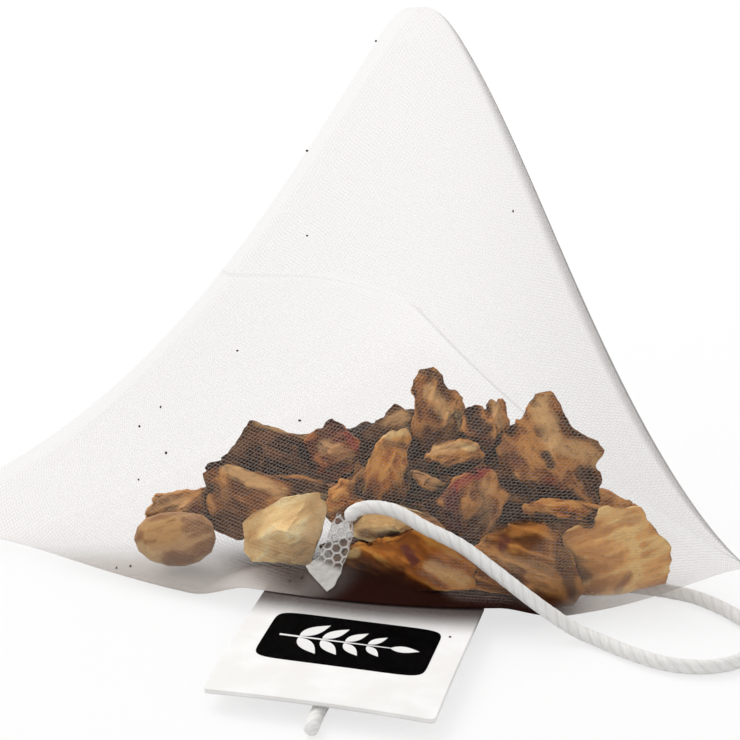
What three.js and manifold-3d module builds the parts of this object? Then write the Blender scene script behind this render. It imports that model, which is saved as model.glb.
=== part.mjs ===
// Pyramid tea bag: a sheer mesh bag with dried fruit and a nut inside, a cotton string welded to its
// front, and a square card tag lying on the string. Millimetres, +Z up, origin on the table below the bag.

import * as THREE from 'three';
import { ConvexGeometry } from 'three/addons/geometries/ConvexGeometry.js';
import { ParametricGeometry } from 'three/addons/geometries/ParametricGeometry.js';
import { mergeVertices } from 'three/addons/utils/BufferGeometryUtils.js';
import Module from 'manifold-3d';

// Clearance between pieces that touch, and between the fill and the film
const GAP = 0.35;
const FILL_GAP = 0.6;

// Bag, as it sits on the table
const BAG_WIDTH = 67.3; // left corner to right corner
const BAG_DEPTH = 63; // right front corner to back corner
const BAG_HEIGHT = 46; // table to the end of the tip, before it bends back
const FILM = 0.45; // wall
const SEAL_THICKNESS = 0.6; // two layers of mesh welded together
const TIP_SIDE = 5.1; // tip to the right of the middle
const LEFT_RISE = 5.6; // the corners stand off the table
const RIGHT_RISE = 4.2;
const BACK_RISE = 3.5;
const TIP_PLACE = -0.032; // corners to the back of the middle, as shares of the depth
const LEFT_PLACE = [-0.51, -0.289]; // and as shares of the width and the depth
const RIGHT_PLACE = [0.49, -0.475];
const BACK_PLACE = [0.104, 0.525];
const SECTION_POWER = 2.35; // 2 is an ellipse, more is squarer
const SWELL = 0.18; // growth of the middle sections as they round out
const RIGHT_SWELL = 1.6;
const SEAL_END = 0.003; // share of the way over which the film closes onto a seal
const INNER_MARGIN = 0.03; // share of the way between the seals that the welds close
const LEFT_SEAL_SAG = 4.4;
const LEFT_SAG_SIDE = 0.74; // direction of that sag, to the right and down
const LEFT_SAG_DOWN = 0.67;
const LEFT_SAG_LEAN = 0.45; // more sag towards the left corner than towards the tip
const RIGHT_SEAL_SAG = 2.5;
const FRONT_BULGE = 10.8; // the fill pushes the front lower edge forward
const FRONT_DROP = 1.8;
const FRONT_SPREAD = 0.29; // radians round the section
const FRONT_FADE = 0.55; // power of the fade towards the seals
const BELLY_DROP = 7; // the fill presses the underside onto the table
const BELLY_SPREAD = 0.6;
const BELLY_FADE = 0.5;
const PRESS = 1; // film that would hang this far below the table lies flat on it
const EASE = 2; // and it hangs free from this height up
const TIP_BEND_HEIGHT = 40.6; // where the tip starts to bend back
const TIP_BEND_RADIUS = 3.5;
const FACET_ROUND = 1.53; // size of the flats that the film is made of, round the bag
const FACET_ALONG = 2.59; // and from seal to seal
const BACK_SLIT = [9, 0.8]; // unwelded stretch of the overlap seam at the back
const SLIT_SHARE = 0.45; // where it lies between the seals

// String and tag
const CORD_DIAMETER = 1.1;
const TAG_SIDE = 18;
const TAG_THICKNESS = 0.35;
const TAG_CENTRE = [0, -39];
const TAG_YAW = THREE.MathUtils.degToRad(-14.65);
const CORD_BED = CORD_DIAMETER / 2 + 0.05; // height of the string's centre line on the table
const TAG_BOTTOM = CORD_BED + CORD_DIAMETER / 2 + GAP;
const TAG_TOP = TAG_BOTTOM + TAG_THICKNESS;
const LIFT_FLAT = FACET_ALONG; // the film stays clear for one facet round the tag and the string
const TAG_SLOPE = LIFT_FLAT + 5.4; // how far from the tag the lifted film is back on the table
const CORD_SLOPE = LIFT_FLAT + 3.9;

// Weld patch that holds the string to the film: its top and foot as angle and share on the bag
const WELD_TOP = [2.02, 0.426];
const WELD_FOOT = [2.19, 0.433];
const WELD_WIDTH = 1.8;
const WELD_FLAP_WIDTH = 2.8;
const WELD_THICKNESS = 0.5;

// Route of the string from the weld, over the front of the bag, round a loop on the table, back under
// the bag and under the tag to its cut end
const CORD_ROUTE = [
  [-0.3, -27.1, 7.7],
  [0.4, -26.7, 8.2],
  [1.5, -26.6, 8.4],
  [3.6, -27.3, 8.3],
  [6.1, -28.8, 7.4],
  [9, -30.4, 6.4],
  [11.8, -32.4, 4.9],
  [14.5, -34, 3.2],
  [16.2, -34.6, 2],
  [18, -35.2, 1],
  [20, -36.4, CORD_BED],
  [22.5, -38.6, CORD_BED],
  [25, -40.1, CORD_BED],
  [28, -40.5, CORD_BED],
  [30.7, -39.4, CORD_BED],
  [32.4, -37, CORD_BED],
  [32.6, -34.6, CORD_BED],
  [31.6, -32.5, CORD_BED],
  [30.2, -30.6, CORD_BED],
  [28.5, -29, CORD_BED],
  [26.5, -28, CORD_BED],
  [22, -26.8, CORD_BED],
  [17, -26.6, CORD_BED],
  [12, -27, CORD_BED],
  [7, -28.3, CORD_BED],
  [3.5, -30.6, CORD_BED],
  [1.2, -34.5, CORD_BED],
  [0, -39, CORD_BED],
  [-1.2, -43.5, CORD_BED],
  [-2.3, -47.6, CORD_BED],
  [-2.8, -50.2, CORD_BED],
];
const CORD_UNDER_BAG = CORD_ROUTE.slice(19, 28);

// The fill is laid out for this size of bag and follows the bag when it changes
const FILL_FOR = [67.3, 63, 46];
const FILL_TILT = THREE.MathUtils.degToRad(-22); // the heap is laid out in a plane leaning back

// Pieces that show through the front. Each has the middle of its outline in the leaning plane (x to the
// right, s up the plane), the depth of its front face and its thickness, and the outline about the middle.
const CHUNKS = [
  { name: 'pear_dice_left', tone: 0x7d5a3a, at: [-14.4, -3.2], front: -19.7, deep: 5,
    outline: [[-3, 0.5], [-1.5, 1.2], [1, 1.5], [2.7, 0.5], [2.5, -1], [0, -1.5], [-3, -1]] },
  { name: 'date_slab', tone: 0x4a2f1f, at: [-6.9, 1.6], front: -18.1, deep: 4.5,
    outline: [[-6, -1], [-5.5, 0], [-2.5, 2.5], [1, 2], [4.5, 1], [6, -0.5], [5.5, -2], [-5, -2.3]] },
  { name: 'apple_dice_left', tone: 0x8a6038, at: [-7, -3.3], front: -21.4, deep: 4.6,
    outline: [[-4.6, 2.3], [-1, 2], [3.5, 2], [5, 1], [2.5, -1], [-1.5, -2.5], [-4, -2], [-4.4, 0]] },
  { name: 'pineapple_dice', tone: 0xe0b878, at: [-5.4, -5], front: -26.4, deep: 4.6,
    outline: [[-3.5, 1], [0, 3], [3.4, 3], [3.4, 2], [2, -1.5], [1.5, -3], [-2.5, -2]] },
  { name: 'cherry_piece', tone: 0x55271f, at: [-1.5, 2.1], front: -22.9, deep: 4.4,
    outline: [[-2, 0.5], [0, 2.5], [1.5, 1], [2, -0.5], [1, -2.5], [-1, -2]] },
  { name: 'apricot_dice', tone: 0xa8713a, at: [2.9, 0.6], front: -24.6, deep: 4.5,
    outline: [[-2, 0.5], [-0.5, 2.5], [1.8, 3], [1.6, 0], [1.5, -2], [0, -2.8], [-1.5, -2]] },
  { name: 'fig_dice', tone: 0x4c3524, at: [4.2, 4], front: -20, deep: 4.9,
    outline: [[-2, -0.5], [-0.5, 1.5], [1.5, 1.5], [1.8, -1], [0.5, -1.5], [-1.5, -1.5]] },
  { name: 'rosehip_piece', tone: 0x6b4a33, at: [8.6, 5], front: -20.9, deep: 4.7,
    outline: [[-2.2, 4], [0, 3], [1, 1], [2, -2.5], [1.8, -4], [-0.5, -3.5], [-1.7, -1], [-2.2, 1.5]] },
  { name: 'apple_wedge', tone: 0x9a734c, at: [8.5, 1.5], front: -25.4, deep: 4.5,
    outline: [[-2, 0], [-1, 1], [2, 1], [2, -1], [-0.5, -1]] },
  { name: 'coconut_sliver', tone: 0x9c8468, at: [11.9, 4.1], front: -22.6, deep: 4,
    outline: [[-0.9, 0], [-0.5, 2], [0.4, 2], [0.8, -0.5], [0.4, -2], [-0.9, -2]] },
  { name: 'almond_sliver', tone: 0xb48c58, at: [6.4, -0.9], front: -26.2, deep: 4,
    outline: [[-1.4, 1], [0.5, 1], [1.4, 0], [1, -1], [-1, -1]] },
  { name: 'strawberry_piece', tone: 0x9c4d3c, at: [10.4, -2.3], front: -27, deep: 4,
    outline: [[-2.4, 1.5], [-1, 2.4], [1, 2.4], [2.2, 1.5], [2.2, -1],
      [0.5, -2.5], [-1.5, -2], [-2.4, -0.5]] },
  { name: 'apple_dice_right', tone: 0x7c5436, at: [17.2, 2], front: -26.2, deep: 6,
    outline: [[-4.2, 0.5], [-2.5, 2.5], [-0.5, 4.5], [1, 4], [4.5, -0.5], [4, -2.5], [3, -4.3], [-3.5, -4]] },
  { name: 'pear_dice_right', tone: 0xc98d54, at: [23.6, -6.1], front: -29.4, deep: 5,
    outline: [[-3, 1.5], [-1.5, 3], [1, 3.3], [2.5, 2], [3, -0.5], [2.5, -2.5], [0, -3], [-3, -2.7]] },
  { name: 'apple_dice_front', tone: 0x8f6238, at: [15.2, -7.4], front: -30.4, deep: 5.4,
    outline: [[-4, 0.5], [-3, 2.5], [0, 3.4], [2.5, 3], [4, 2], [4, -2],
      [1.5, -3.5], [-2.5, -3.5], [-4, -2.5]] },
  { name: 'orange_dice_front', tone: 0xa0642f, at: [4.8, -8], front: -30.1, deep: 5.4,
    outline: [[-5.5, 2], [-4, 2.3], [0, 2], [3.5, 2.4], [5.4, 1], [5.4, -1.5],
      [2.5, -2.5], [-2, -2.5], [-5, -1.5]] },
  { name: 'peach_dice', tone: 0xc49a63, at: [4, -3.8], front: -27.2, deep: 4,
    outline: [[-3.3, 0], [-2, 1.3], [1, 1], [3.4, -0.5], [2.5, -1.4], [-1.5, -1.4]] },
  { name: 'orange_peel', tone: 0xa66f36, at: [-0.7, -2.2], front: -25.5, deep: 3.8,
    outline: [[-0.9, 0], [0, 1.5], [0.9, 1], [0.9, -0.5], [0, -1.4], [-0.9, -1]] },
  { name: 'peel_slab', tone: 0xb5763a, at: [17.4, -3.1], front: -28.2, deep: 4.6,
    outline: [[-3, 0.5], [0, 0.5], [3, 0.2], [3, -0.7], [1, -0.5], [-2.5, -0.5]] },
];

// Smooth oval nut at the left of the heap, laid out like the chunks
const NUT = { name: 'hazelnut', tone: 0xb98f5e, at: [-14.8, -6], front: -24.8, deep: 4.8, size: [7, 4.6] };

// Rows of dice under and behind the pieces that show: first x, spacing, count, y, z and size of one dice
const DICE_ROWS = [
  { name: 'apple_dice_low', tone: 0x86603a, x: 3.6, step: 8.8, count: 3,
    y: -16, z: 3, size: [8.2, 6.2, 4.2] },
  { name: 'pear_dice_low', tone: 0xa87a48, x: -8.5, step: 9.5, count: 3,
    y: -8.9, z: 3.3, size: [8.9, 7.2, 4.8] },
  { name: 'fig_dice_back', tone: 0x5a3d28, x: -4, step: 9.5, count: 2,
    y: -1.2, z: 3.3, size: [8.9, 7.4, 4.8] },
  { name: 'date_dice_back', tone: 0x4f3423, x: 3.5, step: 9.3, count: 2,
    y: -8.6, z: 8.3, size: [8.9, 7, 4.8] },
  { name: 'raisin', tone: 0x3d271c, x: 1.5, step: 7.5, count: 3, y: -22.2, z: 2.4, size: [6.6, 4.8, 3] },
];

const wasm = await Module();
wasm.setup();

/** Closed three.js geometry to a solid that can be joined and cut. */
function toSolid(geometry) {
  const bare = geometry.index ? geometry.toNonIndexed() : geometry.clone();
  bare.deleteAttribute('normal');
  bare.deleteAttribute('uv');
  const merged = mergeVertices(bare, 1e-4);
  const index = merged.index.array;
  const triangles = [];
  for (let i = 0; i < index.length; i += 3) {
    const [a, b, c] = [index[i], index[i + 1], index[i + 2]];
    if (a !== b && b !== c && c !== a) triangles.push(a, b, c);
  }
  const mesh = new wasm.Mesh({
    numProp: 3,
    vertProperties: new Float32Array(merged.attributes.position.array),
    triVerts: new Uint32Array(triangles),
  });
  return new wasm.Manifold(mesh);
}

/** Solid back to a geometry. */
function toGeometry(solid) {
  const mesh = solid.getMesh();
  const geometry = new THREE.BufferGeometry();
  geometry.setAttribute('position', new THREE.BufferAttribute(new Float32Array(mesh.vertProperties), 3));
  geometry.setIndex(Array.from(mesh.triVerts));
  geometry.computeVertexNormals();
  return geometry;
}

function namedMesh(name, geometry, colour, roughness, opacity = 1) {
  const material = new THREE.MeshStandardMaterial({ color: colour, roughness, metalness: 0 });
  material.opacity = opacity;
  material.transparent = opacity < 1;
  const mesh = new THREE.Mesh(geometry, material);
  mesh.name = name;
  return mesh;
}

/** Distance in plan from a point to the stretch of string under the bag. */
function distanceToCord(x, y) {
  let nearest = Infinity;
  for (let i = 1; i < CORD_UNDER_BAG.length; i += 1) {
    const [ax, ay] = CORD_UNDER_BAG[i - 1];
    const [bx, by] = CORD_UNDER_BAG[i];
    const along = ((x - ax) * (bx - ax) + (y - ay) * (by - ay)) / ((bx - ax) ** 2 + (by - ay) ** 2);
    const t = THREE.MathUtils.clamp(along, 0, 1);
    nearest = Math.min(nearest, Math.hypot(x - ax - t * (bx - ax), y - ay - t * (by - ay)));
  }
  return nearest;
}

/** Distance in plan from a point to the edge of the tag, 0 on the tag. */
function distanceToTag(x, y) {
  const dx = x - TAG_CENTRE[0];
  const dy = y - TAG_CENTRE[1];
  const across = Math.cos(TAG_YAW) * dx + Math.sin(TAG_YAW) * dy;
  const along = -Math.sin(TAG_YAW) * dx + Math.cos(TAG_YAW) * dy;
  const beyond = (offset) => Math.max(Math.abs(offset) - TAG_SIDE / 2, 0);
  return Math.hypot(beyond(across), beyond(along));
}

/** Height of what the film lies on: the table, the string or the tag. */
function bedHeight(x, y) {
  const pastTag = THREE.MathUtils.smoothstep(distanceToTag(x, y), LIFT_FLAT, TAG_SLOPE);
  const overTag = (TAG_TOP + GAP) * (1 - pastTag);
  const cordTop = CORD_BED + CORD_DIAMETER / 2 + GAP;
  const overCord = cordTop * (1 - THREE.MathUtils.smoothstep(distanceToCord(x, y), LIFT_FLAT, CORD_SLOPE));
  return Math.max(overTag, overCord);
}

/** Height above its bed of film that would hang at height h without it: flat, then easing off. */
function settle(h) {
  if (h < -PRESS) return 0;
  if (h < EASE) return ((h + PRESS) ** 2) / (2 * (PRESS + EASE));
  return h - (EASE - PRESS) / 2;
}

function signedPower(value, power) {
  return Math.sign(value) * Math.abs(value) ** power;
}

/** Bump round the section, 1 at its middle angle. */
function ring(angle, middle, spread) {
  const turn = Math.atan2(Math.sin(angle - middle), Math.cos(angle - middle));
  return Math.exp(-((turn / spread) ** 2) / 2);
}

// Corners of the bag: the left seal runs from the left corner to the tip, the other from right to back
const corner = ([x, y], rise) => new THREE.Vector3(x * BAG_WIDTH, y * BAG_DEPTH, rise);
const TIP = new THREE.Vector3(TIP_SIDE, TIP_PLACE * BAG_DEPTH, BAG_HEIGHT);
const LEFT = corner(LEFT_PLACE, LEFT_RISE);
const RIGHT = corner(RIGHT_PLACE, RIGHT_RISE);
const BACK = corner(BACK_PLACE, BACK_RISE);

/**
 * Point on the bag. The section at f between the two seals is a rounded rectangle that is flat along
 * the left seal at f 0 and flat along the right one at f 1. It sags, bulges with the fill, bends back
 * at the tip and settles on the table.
 */
function bagPoint(angle, share, inset, target) {
  const margin = inset > 0 ? INNER_MARGIN : 0;
  const even = (1 - Math.cos(Math.PI * share)) / 2;
  const f = margin + (1 - 2 * margin) * even;
  const alongLeft = TIP.clone().sub(LEFT).multiplyScalar(0.5);
  const alongRight = RIGHT.clone().sub(BACK).multiplyScalar(0.5);
  const round = 1 + SWELL * 4 * f * (1 - f);
  const thin = SEAL_THICKNESS / 2;
  const half = (length, away) => Math.max(away * round * length - inset, inset > 0 ? 0.02 : thin);
  const closeStart = Math.min(1, even / SEAL_END);
  const closeEnd = Math.min(1, (1 - even) / SEAL_END);
  const halfLeft = half(alongLeft.length(), 1 - f) * closeEnd;
  const halfRight = half(alongRight.length(), f) * closeStart;
  const u = signedPower(Math.cos(angle), 2 / SECTION_POWER);
  const v = signedPower(Math.sin(angle), 2 / SECTION_POWER);
  const middleLeft = TIP.clone().add(LEFT).multiplyScalar(0.5);
  const middleRight = RIGHT.clone().add(BACK).multiplyScalar(0.5);
  target.copy(middleLeft.lerp(middleRight, f));
  target.addScaledVector(alongLeft.normalize(), u * halfLeft);
  target.addScaledVector(alongRight.normalize(), v * halfRight);
  const leftSag = LEFT_SEAL_SAG * (1 - u * u) * (1 - LEFT_SAG_LEAN * u) * (1 - even) ** 2;
  target.x += LEFT_SAG_SIDE * leftSag;
  target.z -= LEFT_SAG_DOWN * leftSag;
  target.z -= RIGHT_SEAL_SAG * (1 - v * v) * even * even;
  const open = Math.sin(Math.PI * even);
  const front = ring(angle, 0.75 * Math.PI, FRONT_SPREAD) * open ** FRONT_FADE;
  target.y -= (FRONT_BULGE - inset) * front;
  target.z -= FRONT_DROP * front;
  target.z -= BELLY_DROP * ring(angle, Math.PI, BELLY_SPREAD) * open ** BELLY_FADE;
  target.x += RIGHT_SWELL * 4 * even * (1 - even) * Math.max(v, 0);
  const bend = Math.max(target.z - TIP_BEND_HEIGHT, 0) / TIP_BEND_RADIUS;
  if (bend > 0) {
    target.y += TIP_BEND_RADIUS * (1 - Math.cos(bend));
    target.z = TIP_BEND_HEIGHT + TIP_BEND_RADIUS * Math.sin(bend);
  }
  const bed = bedHeight(target.x, target.y);
  const underside = THREE.MathUtils.smoothstep(-Math.cos(angle), 0.45, 0.72) * Math.min(1, 5 * open);
  target.z = bed + settle(target.z - bed) + inset * underside;
  return target;
}

function bagSurface(inset) {
  const place = (u, v, target) => bagPoint(2 * Math.PI * u, v, inset, target);
  const columns = 4 * Math.round(BAG_WIDTH / FACET_ROUND / 4);
  const rows = Math.round(BAG_WIDTH / FACET_ALONG);
  return new ParametricGeometry(place, columns, rows);
}

/** Shell of film with the unwelded stretch of its back seam open. */
function meshBag() {
  const outer = toSolid(bagSurface(0));
  const inner = toSolid(bagSurface(FILM));
  const slit = new THREE.BoxGeometry(BACK_SLIT[0], 12 * FILM, BACK_SLIT[1]);
  const middle = bagPoint(1.5 * Math.PI, SLIT_SHARE, 0, new THREE.Vector3());
  slit.translate(middle.x, middle.y, middle.z);
  const shell = outer.subtract(inner).subtract(toSolid(slit));
  return namedMesh('mesh_bag', toGeometry(shell), 0xf1f1ef, 0.6, 0.35);
}

// Room inside the film that the fill may take up
const FILL_ROOM = toSolid(bagSurface(FILM + FILL_GAP)).intersect(toSolid(bagSurface(FILM + GAP)));
const FILL_STRETCH = new THREE.Matrix4().makeScale(
  BAG_WIDTH / FILL_FOR[0],
  BAG_DEPTH / FILL_FOR[1],
  BAG_HEIGHT / FILL_FOR[2],
);
const LEANING = FILL_STRETCH.clone().multiply(new THREE.Matrix4().makeRotationX(FILL_TILT));

/** One piece of the fill, pressed into the room that the film leaves. */
function fillPiece(name, geometry, tone) {
  return namedMesh(name, toGeometry(toSolid(geometry).intersect(FILL_ROOM)), tone, 0.8);
}

/** Facetted chunk: its outline half way in, and smaller uneven faces at the front and back. */
function chunk({ name, tone, at, front, deep, outline }) {
  const points = [];
  outline.forEach(([x, s], i) => {
    points.push(new THREE.Vector3(at[0] + x, front + deep * (i % 2 ? 0.36 : 0.56), at[1] + s));
    points.push(new THREE.Vector3(at[0] + 0.7 * x, front + 0.09 * deep * (i % 3), at[1] + 0.7 * s));
    points.push(new THREE.Vector3(at[0] + 0.76 * x, front + deep * (i % 2 ? 1 : 0.9), at[1] + 0.76 * s));
  });
  return fillPiece(name, new ConvexGeometry(points).applyMatrix4(LEANING), tone);
}

function hazelnut({ name, tone, at, front, deep, size }) {
  const geometry = new THREE.SphereGeometry(0.5, 16, 10);
  geometry.scale(size[0], deep, size[1]);
  geometry.translate(at[0], front + deep / 2, at[1]);
  return fillPiece(name, geometry.applyMatrix4(LEANING), tone);
}

/** Rows of plain dice, each turned a little more than the one before. */
function diceRow({ name, tone, x, step, count, y, z, size }) {
  return Array.from({ length: count }, (_, i) => {
    const geometry = new THREE.DodecahedronGeometry(0.5, 0);
    geometry.rotateZ(2.4 * i + y);
    geometry.scale(size[0], size[1], size[2]);
    geometry.translate(x + i * step, y, z);
    return fillPiece(`${name}_${i + 1}`, geometry.applyMatrix4(FILL_STRETCH), tone);
  });
}

/** Welded patch lying on the film, with a wider flap at its foot. */
function weldPatch() {
  const top = bagPoint(WELD_TOP[0], WELD_TOP[1], 0, new THREE.Vector3());
  const foot = bagPoint(WELD_FOOT[0], WELD_FOOT[1], 0, new THREE.Vector3());
  const beside = bagPoint(WELD_FOOT[0], WELD_FOOT[1] + 0.03, 0, new THREE.Vector3());
  const length = top.distanceTo(foot);
  const up = top.clone().sub(foot).normalize();
  const out = beside.sub(foot).cross(up).normalize();
  const across = up.clone().cross(out);
  const outline = new THREE.Shape();
  outline.moveTo(-WELD_WIDTH / 2, length);
  outline.lineTo(-WELD_FLAP_WIDTH / 2, 0);
  outline.lineTo(WELD_FLAP_WIDTH / 2, 0.2 * length);
  outline.lineTo(WELD_WIDTH / 2, 0.4 * length);
  outline.lineTo(WELD_WIDTH / 2, length);
  const geometry = new THREE.ExtrudeGeometry(outline, { depth: WELD_THICKNESS, bevelEnabled: false });
  geometry.translate(0, 0, GAP);
  geometry.applyMatrix4(new THREE.Matrix4().makeBasis(across, up, out).setPosition(foot));
  return namedMesh('string_weld', geometry, 0xb9b0aa, 0.4, 0.7);
}

function stringTube() {
  const route = new THREE.CatmullRomCurve3(CORD_ROUTE.map((point) => new THREE.Vector3(...point)));
  const section = new THREE.Shape();
  section.absarc(0, 0, CORD_DIAMETER / 2, 0, 2 * Math.PI);
  const options = { steps: 78, curveSegments: 8, extrudePath: route, bevelEnabled: false };
  return namedMesh('string', new THREE.ExtrudeGeometry(section, options), 0xf4f3ef, 0.9);
}

function cardTag() {
  const mesh = namedMesh('tag', new THREE.BoxGeometry(TAG_SIDE, TAG_SIDE, TAG_THICKNESS), 0xf6f5f2, 0.7);
  mesh.position.set(TAG_CENTRE[0], TAG_CENTRE[1], TAG_BOTTOM + TAG_THICKNESS / 2);
  mesh.rotation.z = TAG_YAW;
  return mesh;
}

const teaBag = new THREE.Group();
teaBag.add(meshBag());
teaBag.add(hazelnut(NUT));
CHUNKS.forEach((piece) => teaBag.add(chunk(piece)));
DICE_ROWS.forEach((row) => teaBag.add(...diceRow(row)));
teaBag.add(weldPatch());

// The origin is on the table under the middle of the bag
const box = new THREE.Box3().setFromObject(teaBag);
const middle = box.getCenter(new THREE.Vector3());
teaBag.position.set(-middle.x, -middle.y, -box.min.z);
teaBag.add(stringTube());
teaBag.add(cardTag());

export default teaBag;
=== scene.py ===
"""Pyramid tea bag: a sheer mesh bag of dried fruit, with a cotton string and a card tag.

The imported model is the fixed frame. Each class builds one sub-assembly of the bag as numpy surfaces around
that frame and dresses it with a procedural finish. Metres, +Z up, the bag lies on z = 0.
"""

from __future__ import annotations

import logging
from dataclasses import dataclass, field
from enum import Enum
from typing import Any, Sequence

import bpy
import numpy as np
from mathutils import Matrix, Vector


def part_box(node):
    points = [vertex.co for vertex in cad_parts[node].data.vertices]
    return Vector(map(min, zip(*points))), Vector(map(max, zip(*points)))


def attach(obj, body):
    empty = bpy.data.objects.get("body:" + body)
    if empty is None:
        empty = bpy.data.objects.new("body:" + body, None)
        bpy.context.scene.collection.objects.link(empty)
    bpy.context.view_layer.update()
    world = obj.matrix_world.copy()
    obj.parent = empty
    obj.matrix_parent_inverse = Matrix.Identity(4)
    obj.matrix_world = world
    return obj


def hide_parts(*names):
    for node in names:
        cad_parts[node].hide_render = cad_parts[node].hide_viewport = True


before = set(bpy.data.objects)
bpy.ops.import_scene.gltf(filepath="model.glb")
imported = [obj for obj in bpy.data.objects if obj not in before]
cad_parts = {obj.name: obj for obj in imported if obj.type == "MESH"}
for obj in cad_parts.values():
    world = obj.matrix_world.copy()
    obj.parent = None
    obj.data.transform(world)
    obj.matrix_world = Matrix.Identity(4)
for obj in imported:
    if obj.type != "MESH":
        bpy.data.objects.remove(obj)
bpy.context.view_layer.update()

LOG = logging.getLogger("tea_bag")
MM = 0.001
BODY = "root"
PHOTO_SIDE = 740
Pixel = tuple[float, float]
Colour = tuple[float, float, float, float]


def srgb(red: int, green: int, blue: int) -> Colour:
    """Display colour from 0 to 255 as the linear colour that a shader takes.

    Args:
        red: Display red.
        green: Display green.
        blue: Display blue.

    Returns:
        Linear red, green and blue, with alpha 1.
    """
    part = np.array([red, green, blue]) / 255
    linear = np.where(part <= 0.04045, part / 12.92, ((part + 0.055) / 1.055) ** 2.4)
    return (*linear.tolist(), 1.0)


# Noise and mesh making


def cell_values(cell: np.ndarray, seed: int) -> np.ndarray:
    """Fixed pseudo-random value from 0 to 1 for each lattice cell, mixed from its whole numbers.

    Args:
        cell: Integer cells, shape (..., 3).
        seed: Number that picks the pattern.

    Returns:
        Values, shape (...).
    """
    mixed = cell[..., 0] * 73856093 ^ cell[..., 1] * 19349663 ^ cell[..., 2] * 83492791 ^ (seed * 40503)
    mixed = mixed & 0x7FFFFFFF
    mixed = ((mixed ^ (mixed >> 13)) * 1274126177) & 0x7FFFFFFF
    mixed = ((mixed ^ (mixed >> 15)) * 668265263) & 0x7FFFFFFF
    return ((mixed ^ (mixed >> 16)) & 0xFFFFFF) / 0xFFFFFF


def value_noise(points: np.ndarray, seed: int) -> np.ndarray:
    """Smooth noise from -1 to 1: lattice values eased by 6t^5 - 15t^4 + 10t^3 between the eight corners.

    Args:
        points: Places in lattice units, shape (..., 3).
        seed: Number that picks the pattern.

    Returns:
        Noise, shape (...).
    """
    base = np.floor(points).astype(np.int64)
    part = points - base
    ease = part**3 * (part * (part * 6 - 15) + 10)
    total = np.zeros(points.shape[:-1])
    for corner in np.ndindex(2, 2, 2):
        share = np.where(np.array(corner) == 1, ease, 1 - ease).prod(axis=-1)
        total += share * cell_values(base + np.array(corner), seed)
    return 2 * total - 1


def cloud(points: np.ndarray, seed: int, octaves: int = 4, ridged: bool = False) -> np.ndarray:
    """Sum of noise octaves, each twice as fine and half as strong as the one before.

    Args:
        points: Places in units of the coarsest octave, shape (..., 3).
        seed: Number that picks the pattern.
        octaves: How many octaves are summed.
        ridged: Folds each octave about zero, which leaves sharp ridges.

    Returns:
        Noise of about -1 to 1, shape (...).
    """
    total = np.zeros(points.shape[:-1])
    for octave in range(octaves):
        layer = value_noise(points * 2**octave + 17.3 * octave, seed + 101 * octave)
        total += 0.5**octave * (1 - 2 * np.abs(layer) if ridged else layer)
    return total


def smoothstep(value: np.ndarray, low: float, high: float) -> np.ndarray:
    """Eased step from 0 at low to 1 at high."""
    part = np.clip((value - low) / (high - low), 0, 1)
    return part * part * (3 - 2 * part)


def surface_normals(points: np.ndarray) -> np.ndarray:
    """Unit normals of a grid surface, from the cross product of its two grid directions.

    Args:
        points: Grid, shape (rows, columns, 3).

    Returns:
        Normals, shape (rows, columns, 3).
    """
    normal = np.cross(np.gradient(points, axis=1), np.gradient(points, axis=0))
    return normal / np.maximum(np.linalg.norm(normal, axis=-1, keepdims=True), 1e-12)


def grid_faces(rows: int, columns: int, wrap: bool) -> np.ndarray:
    """Quads between the points of a grid, row by row.

    Args:
        rows: Number of rows.
        columns: Number of columns.
        wrap: Joins the last column to the first.

    Returns:
        Vertex numbers, shape (faces, 4).
    """
    index = np.arange(rows * columns).reshape(rows, columns)
    after = np.roll(index, -1, axis=1)
    quads = np.stack([index[:-1], after[:-1], after[1:], index[1:]], axis=-1)
    return (quads if wrap else quads[:, :-1]).reshape(-1, 4)


def new_object(name: str, points: np.ndarray, faces: Sequence[Sequence[int]], smooth: bool = True) -> Any:
    """Mesh object at the origin from points and faces.

    Args:
        name: Name of the object and its mesh.
        points: Vertices in metres, shape (..., 3).
        faces: Vertex numbers of each face.
        smooth: Shades the faces smooth.

    Returns:
        The linked object.
    """
    mesh = bpy.data.meshes.new(name)
    mesh.from_pydata(np.reshape(points, (-1, 3)).tolist(), [], list(faces))
    mesh.polygons.foreach_set("use_smooth", np.full(len(mesh.polygons), smooth))
    mesh.update()
    piece = bpy.data.objects.new(name, mesh)
    bpy.context.scene.collection.objects.link(piece)
    return piece


def ball_faces(rows: int, columns: int) -> list[list[int]]:
    """Faces of a wrapped grid of rings and of the two end points that close it, numbered after the grid.

    Args:
        rows: Number of rings.
        columns: Points on each ring.

    Returns:
        Vertex numbers of each face.
    """
    count = rows * columns
    around = np.arange(columns)
    after = np.roll(around, -1)
    top = count - columns
    first = np.stack([np.full(columns, count), after, around], axis=-1)
    last = np.stack([np.full(columns, count + 1), top + around, top + after], axis=-1)
    return grid_faces(rows, columns, wrap=True).tolist() + first.tolist() + last.tolist()


def closed_ball(name: str, points: np.ndarray, low: np.ndarray, high: np.ndarray) -> Any:
    """Closed object from a wrapped grid of rings and the two end points that close it.

    Args:
        name: Name of the object.
        points: Rings from the low end to the high end, shape (rows, columns, 3).
        low: End point before the first ring.
        high: End point after the last ring.

    Returns:
        The linked object.
    """
    faces = ball_faces(points.shape[0], points.shape[1])
    return new_object(name, np.concatenate([points.reshape(-1, 3), [low], [high]]), faces)


def add_uv(piece: Any, uv: np.ndarray) -> None:
    """Gives a mesh a UV map.

    Args:
        piece: Mesh object.
        uv: One coordinate pair for each vertex, shape (..., 2).
    """
    mesh = piece.data
    corner = np.zeros(len(mesh.loops), dtype=np.int32)
    mesh.loops.foreach_get("vertex_index", corner)
    layer = mesh.uv_layers.new(name="flat")
    layer.data.foreach_set("uv", np.reshape(uv, (-1, 2))[corner].ravel())


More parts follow.
